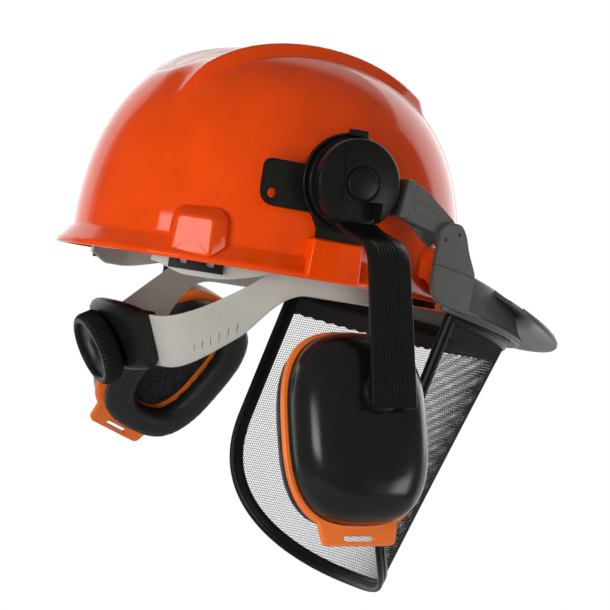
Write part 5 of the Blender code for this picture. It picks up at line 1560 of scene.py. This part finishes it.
class HARDHAT_OT_harness(bpy.types.Operator):
    """Builds the headband, sweatband, crown straps and ratchet, and finishes the suspension clips"""
    bl_idname = "hardhat.harness"
    bl_label = "Harness"

    def execute(self, context):
        size, shell = hat().harness, hat().shell
        look = finishes()
        black = look["Harness black"]
        put("head_band", headband_shape(size, shell), look["Band grey"], "helmet", ["headband"],
            sharp=50.0, cuts=strap_slits(size))
        pad = put("brow_pad", sweatband_shape(size), look["Sweatband vinyl"], "helmet", ["sweatband"])
        soft(pad, 0.0022, 0.0005, 0.6)
        for index, letter in enumerate("ab"):
            grid, heading = strap_places(size, shell, index)
            tape = put("crown_tape_" + letter, sheet(grid, size.strap_thick), look["Crown webbing"], "helmet",
                       ["crown_strap_" + letter], sharp=60.0)
            strap_map(tape, heading, size.strap_width, shell.half_length)
        behind = size.band_thick / 2.0 + GAP
        square = math.cos(size.tail_lean)
        outside = (behind + size.ratchet_depth / 2.0) / square
        cover = sheet(ratchet_patch(size, outside, size.ratchet_half_width, size.ratchet_height * square,
                                    0.22),
                      size.ratchet_depth - 0.0002, rim=5)
        axis = Matrix.Translation((size.band_forward - size.band_half_length, 0.0,
                                   float(tail_middle(size, math.pi)))) \
            @ Matrix.Rotation(-(math.pi / 2.0 + size.tail_lean), 4, "Y")
        seat = behind + size.ratchet_depth + 0.0006
        bore = posed(turned([(0.0042, -0.03), (0.0042, 0.05)], 32), axis)
        put("ratchet_housing", cover, black, "helmet", ["ratchet_cover"], bevel=0.0016,
            cuts=[bore])
        put("ratchet_grip", posed(knob_shape(size, seat), axis), black, "knob", ["ratchet_knob"],
            sharp=50.0)
        kept = {"ratchet_back": "moulded_black", "ratchet_pinion": "clip_grey"}
        kept.update({"suspension_clip_%s_%s" % (end, name): "clip_grey"
                     for end in ("front", "rear") for name in SIDES})
        for name, slot in kept.items():
            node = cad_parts[name]
            node.data.materials.clear()
            node.data.materials.append(black)
        return {"FINISHED"}


# Stage

def camera_axes(stage):
    """The camera's right, up and backward axes: a level camera beside the hat, turned by a roll."""
    level = Vector((math.cos(stage.azimuth), -math.sin(stage.azimuth), 0.0))
    rise = Vector((0.0, 0.0, 1.0))
    right = level * math.cos(stage.roll) + rise * math.sin(stage.roll)
    up = rise * math.cos(stage.roll) - level * math.sin(stage.roll)
    return right, up, Vector((-math.sin(stage.azimuth), -math.cos(stage.azimuth), 0.0))


def softbox(name, stage, turn, rise, away, width, height, glow, glossy):
    """A rectangular light that faces the hat; turn is to the right of the camera, rise is above level."""
    _, _, back = camera_axes(stage)
    right = Vector((math.cos(stage.azimuth), -math.sin(stage.azimuth), 0.0))
    turn, rise = math.radians(turn), math.radians(rise)
    heading = (back * math.cos(turn) + right * math.sin(turn)) * math.cos(rise)
    heading = heading + Vector((0.0, 0.0, math.sin(rise)))
    lamp = bpy.data.lights.new(name, "AREA")
    lamp.shape = "RECTANGLE"
    lamp.size, lamp.size_y = width, height
    lamp.energy = glow * math.pi * width * height
    lit = bpy.data.objects.new(name, lamp)
    lit.location = heading * away
    lit.rotation_euler = heading.to_track_quat("Z", "Y").to_euler()
    lit.visible_camera = False
    lit.visible_glossy = glossy
    bpy.context.scene.collection.objects.link(lit)


class HARDHAT_OT_stage(bpy.types.Operator):
    """Adds the floor, the studio lights, the white surround and the camera"""
    bl_idname = "hardhat.stage"
    bl_label = "Stage"

    def execute(self, context):
        stage = hat().stage
        scene = context.scene
        scene.view_settings.view_transform = "Standard"
        floor_radius, floor_thick, floor_glow = 0.86, 0.002, 0.30
        disc = moved(turned([(floor_radius, 0.0), (floor_radius, floor_thick)], 96),
                     (0.0, 0.0, stage.floor - floor_thick))
        floor = bpy.data.objects.new("floor", meshed("floor", disc))
        pale = bpy.data.materials.new("Pale floor")
        pale.use_nodes = True
        shader = pale.node_tree.nodes["Principled BSDF"]
        shader.inputs["Base Color"].default_value = (0.80, 0.80, 0.79, 1.0)
        shader.inputs["Roughness"].default_value = 0.8
        shader.inputs["Emission Color"].default_value = (1.0, 1.0, 1.0, 1.0)
        looked_at = pale.node_tree.nodes.new("ShaderNodeLightPath").outputs["Is Camera Ray"]
        pale.node_tree.links.new(maths(pale.node_tree, "MULTIPLY", looked_at, floor_glow),
                                 shader.inputs["Emission Strength"])
        floor.data.materials.append(pale)
        scene.collection.objects.link(floor)
        world = bpy.data.worlds.new("Studio")
        world.use_nodes = True
        tree = world.node_tree
        seen = tree.nodes.new("ShaderNodeLightPath")
        surround = tree.nodes["Background"]
        surround.inputs["Color"].default_value = (1.0, 1.0, 1.0, 1.0)
        direct = maths(tree, "MAXIMUM", seen.outputs["Is Camera Ray"], seen.outputs["Is Transmission Ray"])
        aim = tree.nodes.new("ShaderNodeVectorMath")
        aim.operation = "DOT_PRODUCT"
        tree.links.new(tree.nodes.new("ShaderNodeTexCoord").outputs["Object"], aim.inputs[0])
        aim.inputs[1].default_value = -camera_axes(stage)[2]
        behind = ranged(tree, aim.outputs["Value"], 0.35, 0.55, 0.0, 1.0)
        mirrored = maths(tree, "MULTIPLY", seen.outputs["Is Glossy Ray"], behind)
        direct = maths(tree, "MAXIMUM", direct, mirrored)
        tree.links.new(maths(tree, "MAXIMUM", direct, stage.ambient), surround.inputs["Strength"])
        scene.world = world
        for name, turn, rise, away, width, height, glow, glossy in (
                ("light_behind_right", 140.0, 24.0, 1.6, 1.25, 1.25, 1.2, True),
                ("light_behind_left", -143.0, 18.0, 1.6, 1.30, 1.20, 0.6, True),
                ("light_key", -38.0, 2.0, 1.5, 0.50, 0.30, 7.0, True),
                ("light_fill", 68.0, -6.0, 1.6, 0.62, 0.60, 4.0, True),
                ("light_wash", -24.0, -14.0, 1.6, 1.20, 1.20, 4.5, False)):
            softbox(name, stage, turn, rise, away, width, height, glow, glossy)
        right, up, back = camera_axes(stage)
        lens = bpy.data.cameras.new("camera")
        lens.lens = stage.lens
        lens.sensor_width = 36.0
        camera = bpy.data.objects.new("camera", lens)
        turn = Matrix((right, up, back)).transposed().to_4x4()
        place = back * stage.distance + right * stage.right - up * stage.down
        camera.matrix_world = Matrix.Translation(place) @ turn
        scene.collection.objects.link(camera)
        scene.camera = camera
        return {"FINISHED"}


class HARDHAT_PT_panel(bpy.types.Panel):
    """Lists the hard hat's pieces and settings"""
    bl_label = "Hard hat"
    bl_idname = "HARDHAT_PT_panel"
    bl_space_type = "VIEW_3D"
    bl_region_type = "UI"
    bl_category = "Hard hat"

    def draw(self, context):
        for operator in OPERATORS:
            self.layout.operator(operator.bl_idname)
        for name in ("shell", "muffs", "visor", "harness", "colours", "stage"):
            group = getattr(hat(), name)
            column = self.layout.box().column()
            column.label(text=name.capitalize())
            for field in group.__annotations__:
                column.prop(group, field)


SETTINGS = (ShellSizes, MuffSizes, VisorSizes, HarnessSizes, HatColours, StageSizes, HardHatSettings)
OPERATORS = (HARDHAT_OT_shell, HARDHAT_OT_muffs, HARDHAT_OT_visor, HARDHAT_OT_harness, HARDHAT_OT_stage)


def register():
    for kind in (*SETTINGS, *OPERATORS, HARDHAT_PT_panel):
        bpy.utils.register_class(kind)
    bpy.types.Scene.hard_hat = PointerProperty(type=HardHatSettings)


def unregister():
    del bpy.types.Scene.hard_hat
    for kind in reversed((*SETTINGS, *OPERATORS, HARDHAT_PT_panel)):
        bpy.utils.unregister_class(kind)


def main():
    """Builds every piece and the stage."""
    register()
    bpy.ops.hardhat.shell()
    bpy.ops.hardhat.muffs()
    bpy.ops.hardhat.visor()
    bpy.ops.hardhat.harness()
    bpy.ops.hardhat.stage()


if __name__ == "__main__":
    main()
